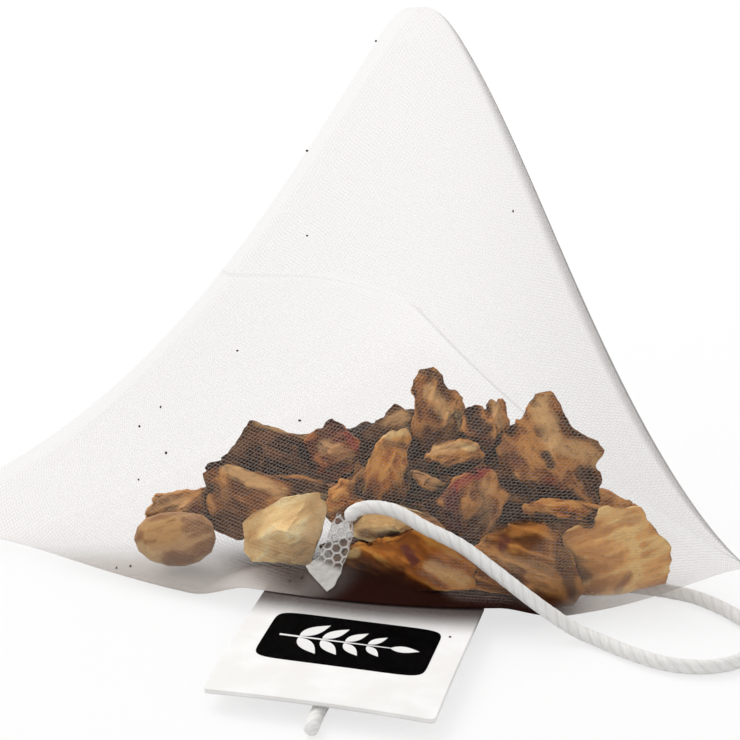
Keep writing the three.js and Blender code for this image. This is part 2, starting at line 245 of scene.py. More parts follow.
def add_attribute(piece: Any, name: str, values: np.ndarray) -> None:
    """Gives a mesh one number, vector or colour for each vertex.

    Args:
        piece: Mesh object.
        name: Name that the finish reads.
        values: Shape (vertices,) for numbers, (vertices, 3) for vectors or (vertices, 4) for colours.
    """
    width = values.shape[1] if values.ndim == 2 else 1
    kind, key = {1: ("FLOAT", "value"), 3: ("FLOAT_VECTOR", "vector"), 4: ("FLOAT_COLOR", "color")}[width]
    layer = piece.data.attributes.new(name, kind, "POINT")
    layer.data.foreach_set(key, values.astype(np.float32).ravel())


def mesh_points(mesh: Any) -> np.ndarray:
    """Vertices of a mesh, shape (vertices, 3)."""
    flat = np.zeros(len(mesh.vertices) * 3)
    mesh.vertices.foreach_get("co", flat)
    return flat.reshape(-1, 3)


def stays_put(piece: Any, slot: str, *nodes: str) -> Any:
    """Rides a piece on the bag's one body and hides the nodes that it stands for.

    Args:
        piece: Mesh object.
        slot: Name of its material slot; not used.
        nodes: Nodes that it takes the place of.

    Returns:
        The piece.
    """
    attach(piece, BODY)
    if nodes:
        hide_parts(*nodes)
    LOG.info("%s: %d faces", piece.name, len(piece.data.polygons))
    return piece


# Shader making


class Shader:
    """Adds nodes to one node tree and links them by value."""

    def __init__(self, tree: Any) -> None:
        """Keeps the tree that the nodes go into."""
        self.tree = tree

    def add(self, kind: str, values: dict[Any, Any] | None = None, **props: Any) -> Any:
        """Adds one node.

        Args:
            kind: Blender's node type without its ShaderNode prefix.
            values: Input name or number to a value, or to the output socket that feeds it.
            props: Settings of the node itself.

        Returns:
            The node.
        """
        node = self.tree.nodes.new("ShaderNode" + kind)
        for name, value in props.items():
            setattr(node, name, value)
        self.feed(node, values or {})
        return node

    def feed(self, node: Any, values: dict[Any, Any]) -> None:
        """Sets inputs of a node.

        Args:
            node: The node.
            values: Input name or number to a value, or to the output socket that feeds it.
        """
        for name, value in values.items():
            if isinstance(value, bpy.types.NodeSocket):
                self.tree.links.new(value, node.inputs[name])
            else:
                node.inputs[name].default_value = value

    def attribute(self, name: str) -> Any:
        """Number that the mesh holds under a name."""
        return self.add("Attribute", attribute_name=name).outputs["Fac"]

    def object_place(self) -> Any:
        """Object coordinates."""
        return self.add("TexCoord").outputs["Object"]

    def math(self, operation: str, *values: Any, clamp: bool = False) -> Any:
        """Output of a Math node on one to three values."""
        return self.add("Math", dict(enumerate(values)), operation=operation, use_clamp=clamp).outputs[0]

    def spread(self, value: Any, low: float, high: float, to_low: float = 0.0, to_high: float = 1.0) -> Any:
        """Output of a clamped Map Range node from low and high to two new values, eased between them."""
        limits = {"Value": value, "From Min": low, "From Max": high, "To Min": to_low, "To Max": to_high}
        return self.add("MapRange", limits, interpolation_type="SMOOTHSTEP").outputs["Result"]

    def mix(self, share: Any, first: Any, second: Any) -> Any:
        """Colour output of a Mix node: the first colour at share 0, the second at share 1."""
        node = self.add("Mix", data_type="RGBA", clamp_factor=True)
        self.feed(node, {0: share, 6: first, 7: second})
        return node.outputs[2]

    def noise(self, place: Any, scale: float, detail: float = 3.0, rough: float = 0.55) -> Any:
        """Factor output of a Noise Texture at a place."""
        values = {"Vector": place, "Scale": scale, "Detail": detail, "Roughness": rough}
        return self.add("TexNoise", values).outputs[0]


def new_material(name: str) -> tuple[Any, Shader, Any]:
    """Material with one Principled BSDF.

    Args:
        name: Name of the material.

    Returns:
        The material, the builder of its tree and its Principled BSDF.
    """
    material = bpy.data.materials.new(name)
    material.use_nodes = True
    material.node_tree.nodes.clear()
    shader = Shader(material.node_tree)
    surface = shader.add("BsdfPrincipled")
    shader.add("OutputMaterial", {"Surface": surface.outputs[0]})
    return material, shader, surface


def new_group(name: str, inputs: dict[str, Any], outputs: dict[str, str]) -> tuple[Any, Shader, Any, Any]:
    """Node group with named sockets.

    Args:
        name: Name of the group.
        inputs: Socket name to its default value, a number or a colour.
        outputs: Socket name to its socket type.

    Returns:
        The group, the builder of its tree, its input node and its output node.
    """
    group = bpy.data.node_groups.new(name, "ShaderNodeTree")
    for label, value in inputs.items():
        kind = "NodeSocketFloat" if isinstance(value, float) else "NodeSocketColor"
        group.interface.new_socket(label, in_out="INPUT", socket_type=kind).default_value = value
    for label, kind in outputs.items():
        group.interface.new_socket(label, in_out="OUTPUT", socket_type=kind)
    ends = [group.nodes.new("NodeGroupInput"), group.nodes.new("NodeGroupOutput")]
    return group, Shader(group), ends[0], ends[1]


# Camera, light and table


@dataclass(frozen=True)
class PhotoView:
    """Camera of the photograph, a pinhole that looks straight along +Y and down."""

    eye: np.ndarray
    pitch: float = np.radians(22.02)
    focal: float = 2200.0
    sensor: float = 36.0

    @property
    def forward(self) -> np.ndarray:
        """Unit vector along the line of sight."""
        return np.array([0, np.cos(self.pitch), -np.sin(self.pitch)])

    @property
    def up(self) -> np.ndarray:
        """Unit vector up the picture."""
        return np.array([0, np.sin(self.pitch), np.cos(self.pitch)])

    def depth(self, points: np.ndarray) -> np.ndarray:
        """Distance of points along the line of sight."""
        return (points - self.eye) @ self.forward

    def pixels(self, points: np.ndarray) -> np.ndarray:
        """Where points show in the picture.

        Args:
            points: Points in metres, shape (..., 3).

        Returns:
            Pixels, x to the right and y down, shape (..., 2).
        """
        scale = self.focal / self.depth(points)
        side = (points - self.eye)[..., 0] * scale
        rise = ((points - self.eye) @ self.up) * scale
        return np.stack([PHOTO_SIDE / 2 + side, PHOTO_SIDE / 2 - rise], axis=-1)

    def place(self, pixels: np.ndarray, depth: Any) -> np.ndarray:
        """Points that show at pixels, at a distance along the line of sight.

        Args:
            pixels: Pixels, shape (..., 2).
            depth: Distance in metres, one number or shape (...).

        Returns:
            Points in metres, shape (..., 3).
        """
        side = (pixels[..., :1] - PHOTO_SIDE / 2) / self.focal
        rise = (PHOTO_SIDE / 2 - pixels[..., 1:]) / self.focal
        ray = self.forward + side * np.array([1.0, 0, 0]) + rise * self.up
        return self.eye + ray * np.reshape(depth, np.shape(depth) + (1,))

    def build(self) -> None:
        """Makes the camera and sets it as the scene's own."""
        data = bpy.data.cameras.new("photo_camera")
        data.sensor_width = self.sensor
        data.lens = self.focal * self.sensor / PHOTO_SIDE
        data.clip_start = 0.01
        camera = bpy.data.objects.new("photo_camera", data)
        camera.location = self.eye.tolist()
        camera.rotation_euler = (np.pi / 2 - self.pitch, 0, 0)
        bpy.context.scene.collection.objects.link(camera)
        bpy.context.scene.camera = camera


@dataclass(frozen=True)
class TableFinish:
    """White table that shows as white to the eye and keeps part of the shadow."""

    matt: Colour = (0.9, 0.9, 0.9, 1.0)
    white: Colour = (1.0, 1.0, 1.0, 1.0)
    shadow_share: float = 0.30

    def build(self) -> Any:
        """Makes the material.

        Returns:
            The material.
        """
        material = bpy.data.materials.new("white_table")
        material.use_nodes = True
        material.node_tree.nodes.clear()
        shader = Shader(material.node_tree)
        light = shader.add("LightPath")
        seen = shader.math("MAXIMUM", light.outputs["Is Camera Ray"], light.outputs["Is Glossy Ray"])
        seen = shader.math("MAXIMUM", seen, light.outputs["Is Transmission Ray"])
        white = shader.add("Emission", {"Color": self.white, "Strength": 1.0})
        matt = shader.add("BsdfDiffuse", {"Color": self.matt})
        share = shader.math("MULTIPLY", seen, 1 - self.shadow_share)
        both = shader.add("MixShader", {0: share, 1: matt.outputs[0], 2: white.outputs[0]})
        shader.add("OutputMaterial", {"Surface": both.outputs[0]})
        return material


@dataclass
class Studio:
    """White table, soft light from all round and one large lamp."""

    table_side: float = 3.0
    table_drop: float = 0.05 * MM
    world_strength: float = 0.76
    lamp_place: tuple[float, float, float] = (-0.30, 0.36, 0.52)
    lamp_side: float = 0.45
    lamp_power: float = 2.5

    def build(self) -> None:
        """Makes the table, the world and the lamp."""
        bpy.context.scene.view_settings.view_transform = "Standard"
        half = self.table_side / 2
        corners = np.array([[-half, -half], [half, -half], [half, half], [-half, half]])
        points = np.column_stack([corners, np.full(4, -self.table_drop)])
        table = new_object("table", points, [(0, 1, 2, 3)], smooth=False)
        table.data.materials.append(TableFinish().build())
        world = bpy.data.worlds.new("soft_room")
        world.use_nodes = True
        background = world.node_tree.nodes["Background"]
        Shader(world.node_tree).feed(background, {"Strength": self.world_strength, "Color": (1, 1, 1, 1)})
        bpy.context.scene.world = world
        data = bpy.data.lights.new("softbox", "AREA")
        data.size = self.lamp_side
        data.energy = self.lamp_power
        lamp = bpy.data.objects.new("softbox", data)
        lamp.location = self.lamp_place
        aim = -np.array(self.lamp_place)
        tilt = np.arctan2(np.hypot(aim[0], aim[1]), -aim[2])
        lamp.rotation_euler = (tilt, 0, np.arctan2(aim[1], aim[0]) - np.pi / 2)
        bpy.context.scene.collection.objects.link(lamp)


# String and tag


@dataclass(frozen=True)
class CardFinish:
    """Matt white card: faint fibre mottle in colour and bump, brown in the bag's contact shade."""

    low: Colour = srgb(240, 238, 235)
    high: Colour = srgb(249, 248, 246)
    shaded: Colour = srgb(46, 25, 16)
    shade_cover: float = 0.95
    fibre_scale: float = 2600.0
    mottle_scale: float = 260.0
    fibre_height: float = 0.03 * MM
    roughness: tuple[float, float] = (0.55, 0.75)

    def build(self) -> Any:
        """Makes the material.

        Returns:
            The material.
        """
        material, shader, surface = new_material("white_card")
        place = shader.object_place()
        fibre = shader.noise(place, self.fibre_scale, 4.0)
        mottle = shader.noise(place, self.mottle_scale, 2.0)
        tone = shader.mix(shader.spread(mottle, 0.35, 0.7), self.low, self.high)
        shade = shader.math("MULTIPLY", shader.attribute("bag_shade"), self.shade_cover)
        tone = shader.mix(shade, tone, self.shaded)
        bump = shader.add("Bump", {"Strength": 0.15, "Distance": self.fibre_height, "Height": fibre})
        rough = shader.spread(fibre, 0.3, 0.7, *self.roughness)
        shader.feed(surface, {"Base Color": tone, "Roughness": rough, "Normal": bump.outputs[0]})
        return material


@dataclass(frozen=True)
class InkFinish:
    """Flat black ink with a slightly uneven cover."""

    deep: Colour = srgb(3, 3, 3)
    thin: Colour = srgb(9, 8, 9)
    grain: float = 900.0
    roughness: tuple[float, float] = (0.38, 0.5)
    specular: float = 0.005

    def build(self) -> Any:
        """Makes the material.

        Returns:
            The material.
        """
        material, shader, surface = new_material("black_ink")
        uneven = shader.noise(shader.object_place(), self.grain, 3.0)
        tone = shader.mix(shader.spread(uneven, 0.3, 0.75), self.deep, self.thin)
        rough = shader.spread(uneven, 0.3, 0.7, *self.roughness)
        shader.feed(surface, {"Base Color": tone, "Roughness": rough, "Specular IOR Level": self.specular})
        return material


@dataclass(frozen=True)
class OpenWhiteFinish:
    """White of the card left open in the ink."""

    low: Colour = srgb(228, 226, 223)
    high: Colour = srgb(246, 245, 243)
    grain: float = 1400.0
    roughness: float = 0.6

    def build(self) -> Any:
        """Makes the material.

        Returns:
            The material.
        """
        material, shader, surface = new_material("open_white")
        tone = shader.mix(shader.noise(shader.object_place(), self.grain, 2.0), self.low, self.high)
        shader.feed(surface, {"Base Color": tone, "Roughness": self.roughness})
        return material


@dataclass
class CardTag:
    """Square white card on the end of the string, with a printed black panel and a leaf sprig."""

    view: PhotoView
    side: float = 18 * MM
    yaw: float = np.radians(-14.65)
    thickness: float = 0.35 * MM
    curl: float = 0.35 * MM
    corner_power: float = 60.0
    panel: tuple[float, float] = (13.6 * MM, 7.4 * MM)
    panel_power: float = 9.0
    ink: float = 0.02 * MM
    leaf: tuple[float, float] = (2.9 * MM, 1.15 * MM)
    leaf_lean: float = np.radians(48)
    leaf_pairs: int = 4
    pair_step: float = 1.85 * MM
    stem: float = 9.2 * MM
    stem_shift: float = -1.05 * MM
    columns: int = 384
    rings: int = 12
    shade_reach: tuple[float, float] = (0.5 * MM, 4.6 * MM)
    fold_height: float = 5 * MM
    fold_steps: int = 60
    low: np.ndarray = field(init=False)
    centre: np.ndarray = field(init=False)

    def __post_init__(self) -> None:
        """Takes the card's place from its node."""
        self.low, high = (np.array(corner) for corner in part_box("tag"))
        self.centre = (self.low + high) / 2

    def on_card(self, across: np.ndarray, along: np.ndarray, lift: Any) -> np.ndarray:
        """Points over the card: turned by its yaw, with corners that curl up as the fourth power.

        Args:
            across: Distance to the right of the card's middle.
            along: Distance from the card's near half to its far half.
            lift: Height over the card's underside.

        Returns:
            Points in metres.
        """
        turn_x = np.cos(self.yaw) * across - np.sin(self.yaw) * along
        turn_y = np.sin(self.yaw) * across + np.cos(self.yaw) * along
        far = np.minimum(along, 0) / (self.side / 2)
        rise = self.low[2] + lift - self.curl * far**2 * (0.4 + 0.6 * (across / (self.side / 2)) ** 2)
        return np.stack([self.centre[0] + turn_x, self.centre[1] + turn_y, rise], axis=-1)

    def rounded_slab(
        self, name: str, size: tuple[float, float], power: float, base: float, top: float
    ) -> Any:
        """Slab with round corners that follows the card: rings of a superellipse from its middle to its rim.

        Args:
            name: Name of the piece.
            size: Width and length.
            power: Power of the superellipse, larger for sharper corners.
            base: Height of its underside over the card's.
            top: Height of its top over the card's underside.

        Returns:
            The closed slab.
        """
        turn = np.linspace(0, 2 * np.pi, self.columns + 1)[:-1]
        reach = np.stack([np.cos(turn), np.sin(turn)], axis=-1)
        radius = (np.abs(reach / (np.array(size) / 2)) ** power).sum(axis=-1) ** (-1 / power)
        rim = reach * radius[:, None]
        outwards = np.append(np.linspace(0.06, 0.97, self.rings), [0.994, 1.0])
        share = np.concatenate([outwards, outwards[::-1]])
        lift = np.repeat([base, top], len(outwards))[:, None] * np.ones(len(turn))
        flat = share[:, None, None] * rim[None]
        points = self.on_card(flat[..., 0], flat[..., 1], lift)
        ends = [self.on_card(np.zeros(1), np.zeros(1), np.full(1, height))[0] for height in (base, top)]
        return closed_ball(name, points, ends[0], ends[1])

    def leaf_points(self, start: Pixel, angle: float, scale: float) -> np.ndarray:
        """Outline of one leaf, two arcs that meet in a point: width as the sine of the way along it.

        Args:
            start: Foot of the leaf, across and along the card.
            angle: Its direction.
            scale: Its size as a share of the largest leaf.

        Returns:
            Closed outline, shape (points, 2).
        """
        steps = 24
        way = np.concatenate([np.linspace(0, 1, steps), np.linspace(1, 0, steps)[1:-1]])
        side = np.concatenate([-np.ones(steps), np.ones(steps - 2)])
        along = way * self.leaf[0] * scale
        across = side * self.leaf[1] * scale / 2 * np.sin(np.pi * way**0.8)
        turned = np.stack([np.cos(angle) * along - np.sin(angle) * across,
                           np.sin(angle) * along + np.cos(angle) * across], axis=-1)
        return turned + np.array(start)

    def flat_print(self, name: str, outlines: list[np.ndarray], lift: float) -> Any:
        """Thin closed patches of ink from outlines on the card.

        Args:
            name: Name of the piece.
            outlines: Closed outlines as distances across and along the card.
            lift: Height of the ink's underside over the card's.

        Returns:
            One object with all patches.
        """
        points: list[np.ndarray] = []
        faces: list[list[int]] = []
        for outline in outlines:
            count = len(outline)
            first = sum(len(part) for part in points)
            for height in (lift, lift + self.ink):
                points.append(self.on_card(outline[:, 0], outline[:, 1], np.full(count, height)))
            around = np.arange(count)
            after = np.roll(around, -1)
            sides = np.stack([around, after, count + after, count + around], axis=-1) + first
            faces += sides.tolist() + [(first + around[::-1]).tolist(), (first + count + around).tolist()]
        return new_object(name, np.concatenate(points), faces, smooth=False)

    def sprig(self) -> list[np.ndarray]:
        """Outlines of a stem and its pairs of leaves, along the panel.

        Returns:
            Closed outlines as distances across and along the card.
        """
        half = self.stem / 2
        foot_half, tip_half = 0.12 * MM, 0.05 * MM
        stem = [[-half, -foot_half], [half, -tip_half], [half, tip_half], [-half, foot_half]]
        outlines = [np.array(stem)]
        for pair in range(self.leaf_pairs):
            foot = -half + 1.6 * MM + pair * self.pair_step
            for side in (1, -1):
                lean = side * self.leaf_lean
                outlines.append(self.leaf_points((foot, side * 0.16 * MM), lean, 1 - 0.12 * pair))
        outlines.append(self.leaf_points((half - 0.2 * MM, 0), 0.0, 0.8))
        return [outline + np.array([self.stem_shift, 0.0]) for outline in outlines]

    def build(self) -> list[Any]:
        """Makes the card and its print.

        Returns:
            The card, the panel and the sprig.
        """
        top = self.thickness
        card = self.rounded_slab("tag_card", (self.side, self.side), self.corner_power, 0.0, top)
        card.data.materials.append(CardFinish().build())
        panel = self.rounded_slab("tag_panel", self.panel, self.panel_power, top, top + self.ink)
        panel.data.materials.append(InkFinish().build())
        sprig = self.flat_print("tag_sprig", self.sprig(), top + self.ink)
        sprig.data.materials.append(OpenWhiteFinish().build())
        stays_put(card, "card", "tag")
        return [card, stays_put(panel, "card"), stays_put(sprig, "card")]

    def shade(self, card: Any, film: np.ndarray) -> None:
        """Gives the card the bag's contact shade: full up to the film's front fold, gone a little before it.

        The fold is the foremost low film point in each of a row of narrow steps across the card.

        Args:
            card: The card.
            film: Points of the film, shape (points, 3).
        """
        low = film[film[:, 2] < self.fold_height]
        steps = np.linspace(low[:, 0].min(), low[:, 0].max(), self.fold_steps)
        fold = np.full(len(steps), np.inf)
        np.minimum.at(fold, np.searchsorted(steps, low[:, 0]), low[:, 1])
        points = mesh_points(card.data)
        ahead = np.interp(points[:, 0], steps, fold) - points[:, 1]
        add_attribute(card, "bag_shade", 1 - smoothstep(ahead, *self.shade_reach))


@dataclass(frozen=True)
class CottonFinish:
    """White cotton: fibres slanted along the plies, painted shade that greys the grooves, and a soft sheen.
    """

    low: Colour = srgb(226, 224, 220)
    high: Colour = srgb(250, 249, 247)
    # Painted shade in the grooves between the plies.
    groove: Colour = srgb(196, 192, 186)
    groove_shade_cover: float = 0.3
    fibre_stretch: tuple[float, float, float] = (14.0, 1.6, 1.0)
    fibre_height: float = 0.06 * MM
    roughness: float = 0.85
    sheen: float = 0.25

    def build(self) -> Any:
        """Makes the material.

        Returns:
            The material.
        """
        material, shader, surface = new_material("white_cotton")
        flat = shader.add("UVMap", uv_map="flat").outputs[0]
        place = shader.add("Mapping", {"Vector": flat, "Scale": self.fibre_stretch}).outputs[0]
        fibre = shader.noise(place, 1.0, 4.0, 0.6)
        # Painted shade in the grooves between the plies.
        deep = shader.spread(shader.attribute("groove"), 0.25, 1.0)
        deep = shader.math("MULTIPLY", deep, self.groove_shade_cover)
        tone = shader.mix(shader.spread(fibre, 0.3, 0.75), self.low, self.high)
        tone = shader.mix(deep, tone, self.groove)
        bump = shader.add("Bump", {"Strength": 0.5, "Distance": self.fibre_height, "Height": fibre})
        shader.feed(surface, {"Base Color": tone, "Normal": bump.outputs[0]})
        shader.feed(surface, {"Roughness": self.roughness, "Sheen Weight": self.sheen})
        return material


@dataclass
class CottonString:
    """Twisted cotton string from the weld, over the front, round a loop and back under the bag and tag."""

    shift: np.ndarray
    diameter: float = 1.1 * MM
    plies: int = 3
    lay: float = 3.2 * MM
    ply_depth: float = 0.045
    rows_per_metre: int = 11000
    columns: int = 30
    bed: float = 0.6
    slip: tuple[float, float, float] = (0.0, -0.75, -0.62)
    slip_points: int = 8
    under_bag: tuple[int, int] = (19, 28)
    route: list[np.ndarray] = field(init=False)

    def __post_init__(self) -> None:
        """Places the route's points, in millimetres, about the bag's origin."""
        bed = self.bed
        points = [
            (-0.3, -27.1, 7.7), (0.4, -26.7, 8.2), (1.5, -26.6, 8.4), (3.6, -27.3, 8.3), (6.1, -28.8, 7.4),
            (9, -30.4, 6.4), (11.8, -32.4, 4.9), (14.5, -34, 3.2), (16.2, -34.6, 2), (18, -35.2, 1),
            (20, -36.4, bed), (22.5, -38.6, bed), (25, -40.1, bed), (28, -40.5, bed), (30.7, -39.4, bed),
            (32.4, -37, bed), (32.6, -34.6, bed), (31.6, -32.5, bed), (30.2, -30.6, bed), (28.5, -29, bed),
            (26.5, -28, bed), (22, -26.8, bed), (17, -26.6, bed), (12, -27, bed), (7, -28.3, bed),
            (3.5, -30.6, bed), (1.2, -34.5, bed), (0, -39, bed), (-1.2, -43.5, bed), (-2.3, -47.6, bed),
            (-2.8, -50.2, bed),
        ]
        slipped = np.clip(1 - np.arange(len(points)) / self.slip_points, 0, 1)[:, None] * np.array(self.slip)
        self.route = (np.array(points) + slipped) * MM + self.shift

    def centre_line(self) -> np.ndarray:
        """Smooth line through the route: a centripetal Catmull-Rom curve, resampled to even steps.

        Returns:
            Points in metres, shape (rows, 3).
        """
        ends = [2 * self.route[0] - self.route[1], 2 * self.route[-1] - self.route[-2]]
        knots = np.concatenate([[ends[0]], self.route, [ends[1]]])
        step = np.linalg.norm(np.diff(knots, axis=0), axis=1) ** 0.5
        way = np.concatenate([[0], np.cumsum(step)])
        fine = np.linspace(way[1], way[-2], 6000)[:-1]
        k = np.searchsorted(way, fine, side="right") - 1
        t = [way[k + offset] for offset in (-1, 0, 1, 2)]
        p = [knots[k + offset] for offset in (-1, 0, 1, 2)]

        def blend(a: np.ndarray, b: np.ndarray, start: np.ndarray, end: np.ndarray) -> np.ndarray:
            """Point between two points in proportion to the way between two knots."""
            share = ((fine - start) / (end - start))[:, None]
            return a + (b - a) * share

        a = [blend(p[i], p[i + 1], t[i], t[i + 1]) for i in range(3)]
        b = [blend(a[i], a[i + 1], t[i], t[i + 2]) for i in range(2)]
        line = np.concatenate([blend(b[0], b[1], t[1], t[2]), self.route[-1:]])
        length = np.concatenate([[0], np.cumsum(np.linalg.norm(np.diff(line, axis=0), axis=1))])
        even = np.linspace(0, length[-1], int(length[-1] * self.rows_per_metre))
        return np.stack([np.interp(even, length, line[:, axis]) for axis in range(3)], axis=-1)

    def build(self, tag_pieces: list[Any]) -> Any:
        """Args:
            tag_pieces: Pieces of the tag on its far end; not used.

        Returns:
            The string.
        """
        line = self.centre_line()
        piece = self.twisted_tube(line)
        piece.data.materials.append(CottonFinish().build())
        stays_put(piece, "string", "string")
        return piece

    def twisted_tube(self, line: np.ndarray) -> Any:
        """Tube along the line whose section is a rosette of plies that turns once in each lay.

        The radius is the string's own, less a groove between plies that deepens as one minus the absolute
        cosine of half the ply count times the angle. Fine noise stands for loose fibres, and both ends taper.

        Args:
            line: Points of the centre line, evenly spaced.

        Returns:
            The closed tube.
        """
        along = np.gradient(line, axis=0)
        along /= np.linalg.norm(along, axis=1, keepdims=True)
        side = np.cross(along, [0, 0, 1.0])
        side /= np.linalg.norm(side, axis=1, keepdims=True)
        rise = np.cross(side, along)
        way = np.concatenate([[0], np.cumsum(np.linalg.norm(np.diff(line, axis=0), axis=1))])[:, None]
        turn = np.linspace(0, 2 * np.pi, self.columns + 1)[:-1][None]
        phase = turn + 2 * np.pi * way / self.lay
        groove = 1 - np.abs(np.cos(self.plies / 2 * phase))
        fibre = np.stack([phase * 3, way / (0.5 * MM) + 0 * phase, way / self.lay + 0 * phase], axis=-1)
        radius = self.diameter / 2 * (1.05 - self.ply_depth * groove**1.4 + 0.035 * cloud(fibre, 5, 3))
        end = np.minimum(way, way[-1] - way)
        radius = radius * np.sqrt(np.clip(end / (0.45 * self.diameter), 0.02, 1))
        offset = np.cos(turn)[..., None] * side[:, None] + np.sin(turn)[..., None] * rise[:, None]
        points = line[:, None] + radius[..., None] * offset
        piece = closed_ball("cotton_string", points[:, ::-1], line[0], line[-1])
        strand = np.stack([self.plies * phase / (2 * np.pi), way / self.diameter + 0 * phase], axis=-1)
        ends = [[0, 0], [0, way[-1, 0] / self.diameter]]
        add_uv(piece, np.concatenate([strand[:, ::-1].reshape(-1, 2), ends]))
        add_attribute(piece, "groove", np.concatenate([groove[:, ::-1].ravel(), [0, 0]]))
        return piece


# Mesh bag


@dataclass(frozen=True)
class MeshFinish:
    """Sheer white weave: thin threads both ways, with clear holes that dim what is behind them a little.

    The film dims more where it turns edge on, and more to its right as painted shade. Where its lower
    front turns under, painted shade covers it: dark brown where fruit bears on it, which is painted shadow
    together with the colour of the fruit behind, and pale grey beside. Its threads hardly show there and
    where fruit presses on them.
    """

    pitch: float = 0.3 * MM
    thread_edge: tuple[float, float] = (0.05, 0.2)
    thread_cover: tuple[float, float] = (0.1, 0.012)
    # Cover of the dim holes, which also carries painted shade on the film's right.
    dim_cover: tuple[float, float] = (0.012, 0.27)
    fold_shade_cover: tuple[float, float] = (0.5, 0.93)
    seal_threads: float = 0.25
    seal_cover: float = 0.01
    under_from: float = 0.22
    under_threads: float = 0.03
    shadow_cover: float = 0.6
    thread: Colour = srgb(250, 237, 225)
    hole: Colour = srgb(66, 46, 34)
    # Painted shade on the turned-under front: pale grey, and dark brown shadow with fruit colour where fruit
    # bears.
    fold: Colour = srgb(208, 200, 193)
    loaded_fold_shadow_and_fruit: Colour = srgb(44, 15, 8)
    roughness: float = 0.6
    specular: float = 0.05

    def build(self) -> Any:
        """Makes the material: its alpha is the cover of threads, dim holes and the fold's painted shade
        together.

        Returns:
            The material.
        """
        material, shader, surface = new_material("sheer_mesh")
        flat = shader.add("SeparateXYZ", {0: shader.add("UVMap", uv_map="flat").outputs[0]})
        threads = []
        for axis in (0, 1):
            step = shader.math("MULTIPLY", flat.outputs[axis], 1 / self.pitch)
            away = shader.math("PINGPONG", step, 0.5)
            threads.append(shader.spread(away, *self.thread_edge, 1.0, 0.0))
        weave = shader.math("MAXIMUM", threads[0], threads[1])
        names = ("seal", "under", "loaded", "edge_on_and_right_shade", "pressed")
        seal, under, loaded, edge_on_and_right_shade, pressed = (shader.attribute(name) for name in names)
        shadow = shader.add("LightPath").outputs["Is Shadow Ray"]
        # Dim holes: more where the film turns edge on, and painted shade to its right.
        dim = shader.spread(edge_on_and_right_shade, 0.0, 1.0, *self.dim_cover)
        # Painted shade over the turned-under lower front.
        fold = shader.math("MULTIPLY", under, shader.spread(loaded, 0.0, 1.0, *self.fold_shade_cover))
        thread = shader.math("MULTIPLY", weave, shader.spread(pressed, 0.0, 1.0, *self.thread_cover))
        thread = shader.math("MULTIPLY", thread, shader.spread(seal, 0.0, 1.0, 1.0, self.seal_threads))
        bare = shader.spread(under, 0.0, self.under_from, 1.0, self.under_threads)
        thread = shader.math("MULTIPLY", thread, bare)
        thread = shader.math("ADD", thread, shader.math("MULTIPLY", seal, self.seal_cover))
        cover = shader.math("ADD", shader.math("ADD", dim, thread), fold)
        tone = shader.mix(shader.math("DIVIDE", thread, cover), self.hole, self.thread)
        # Painted shade colour: pale grey, or dark brown shadow with fruit colour where fruit bears on the
        # film.
        folded_shade = shader.mix(loaded, self.fold, self.loaded_fold_shadow_and_fruit)
        tone = shader.mix(shader.math("DIVIDE", fold, cover), tone, folded_shade)
        kept = shader.spread(shadow, 0.0, 1.0, 1.0, self.shadow_cover)
        cover = shader.math("MULTIPLY", cover, kept, clamp=True)
        shader.feed(surface, {"Base Color": tone, "Alpha": cover})
        shader.feed(surface, {"Roughness": self.roughness, "Specular IOR Level": self.specular})
        return material


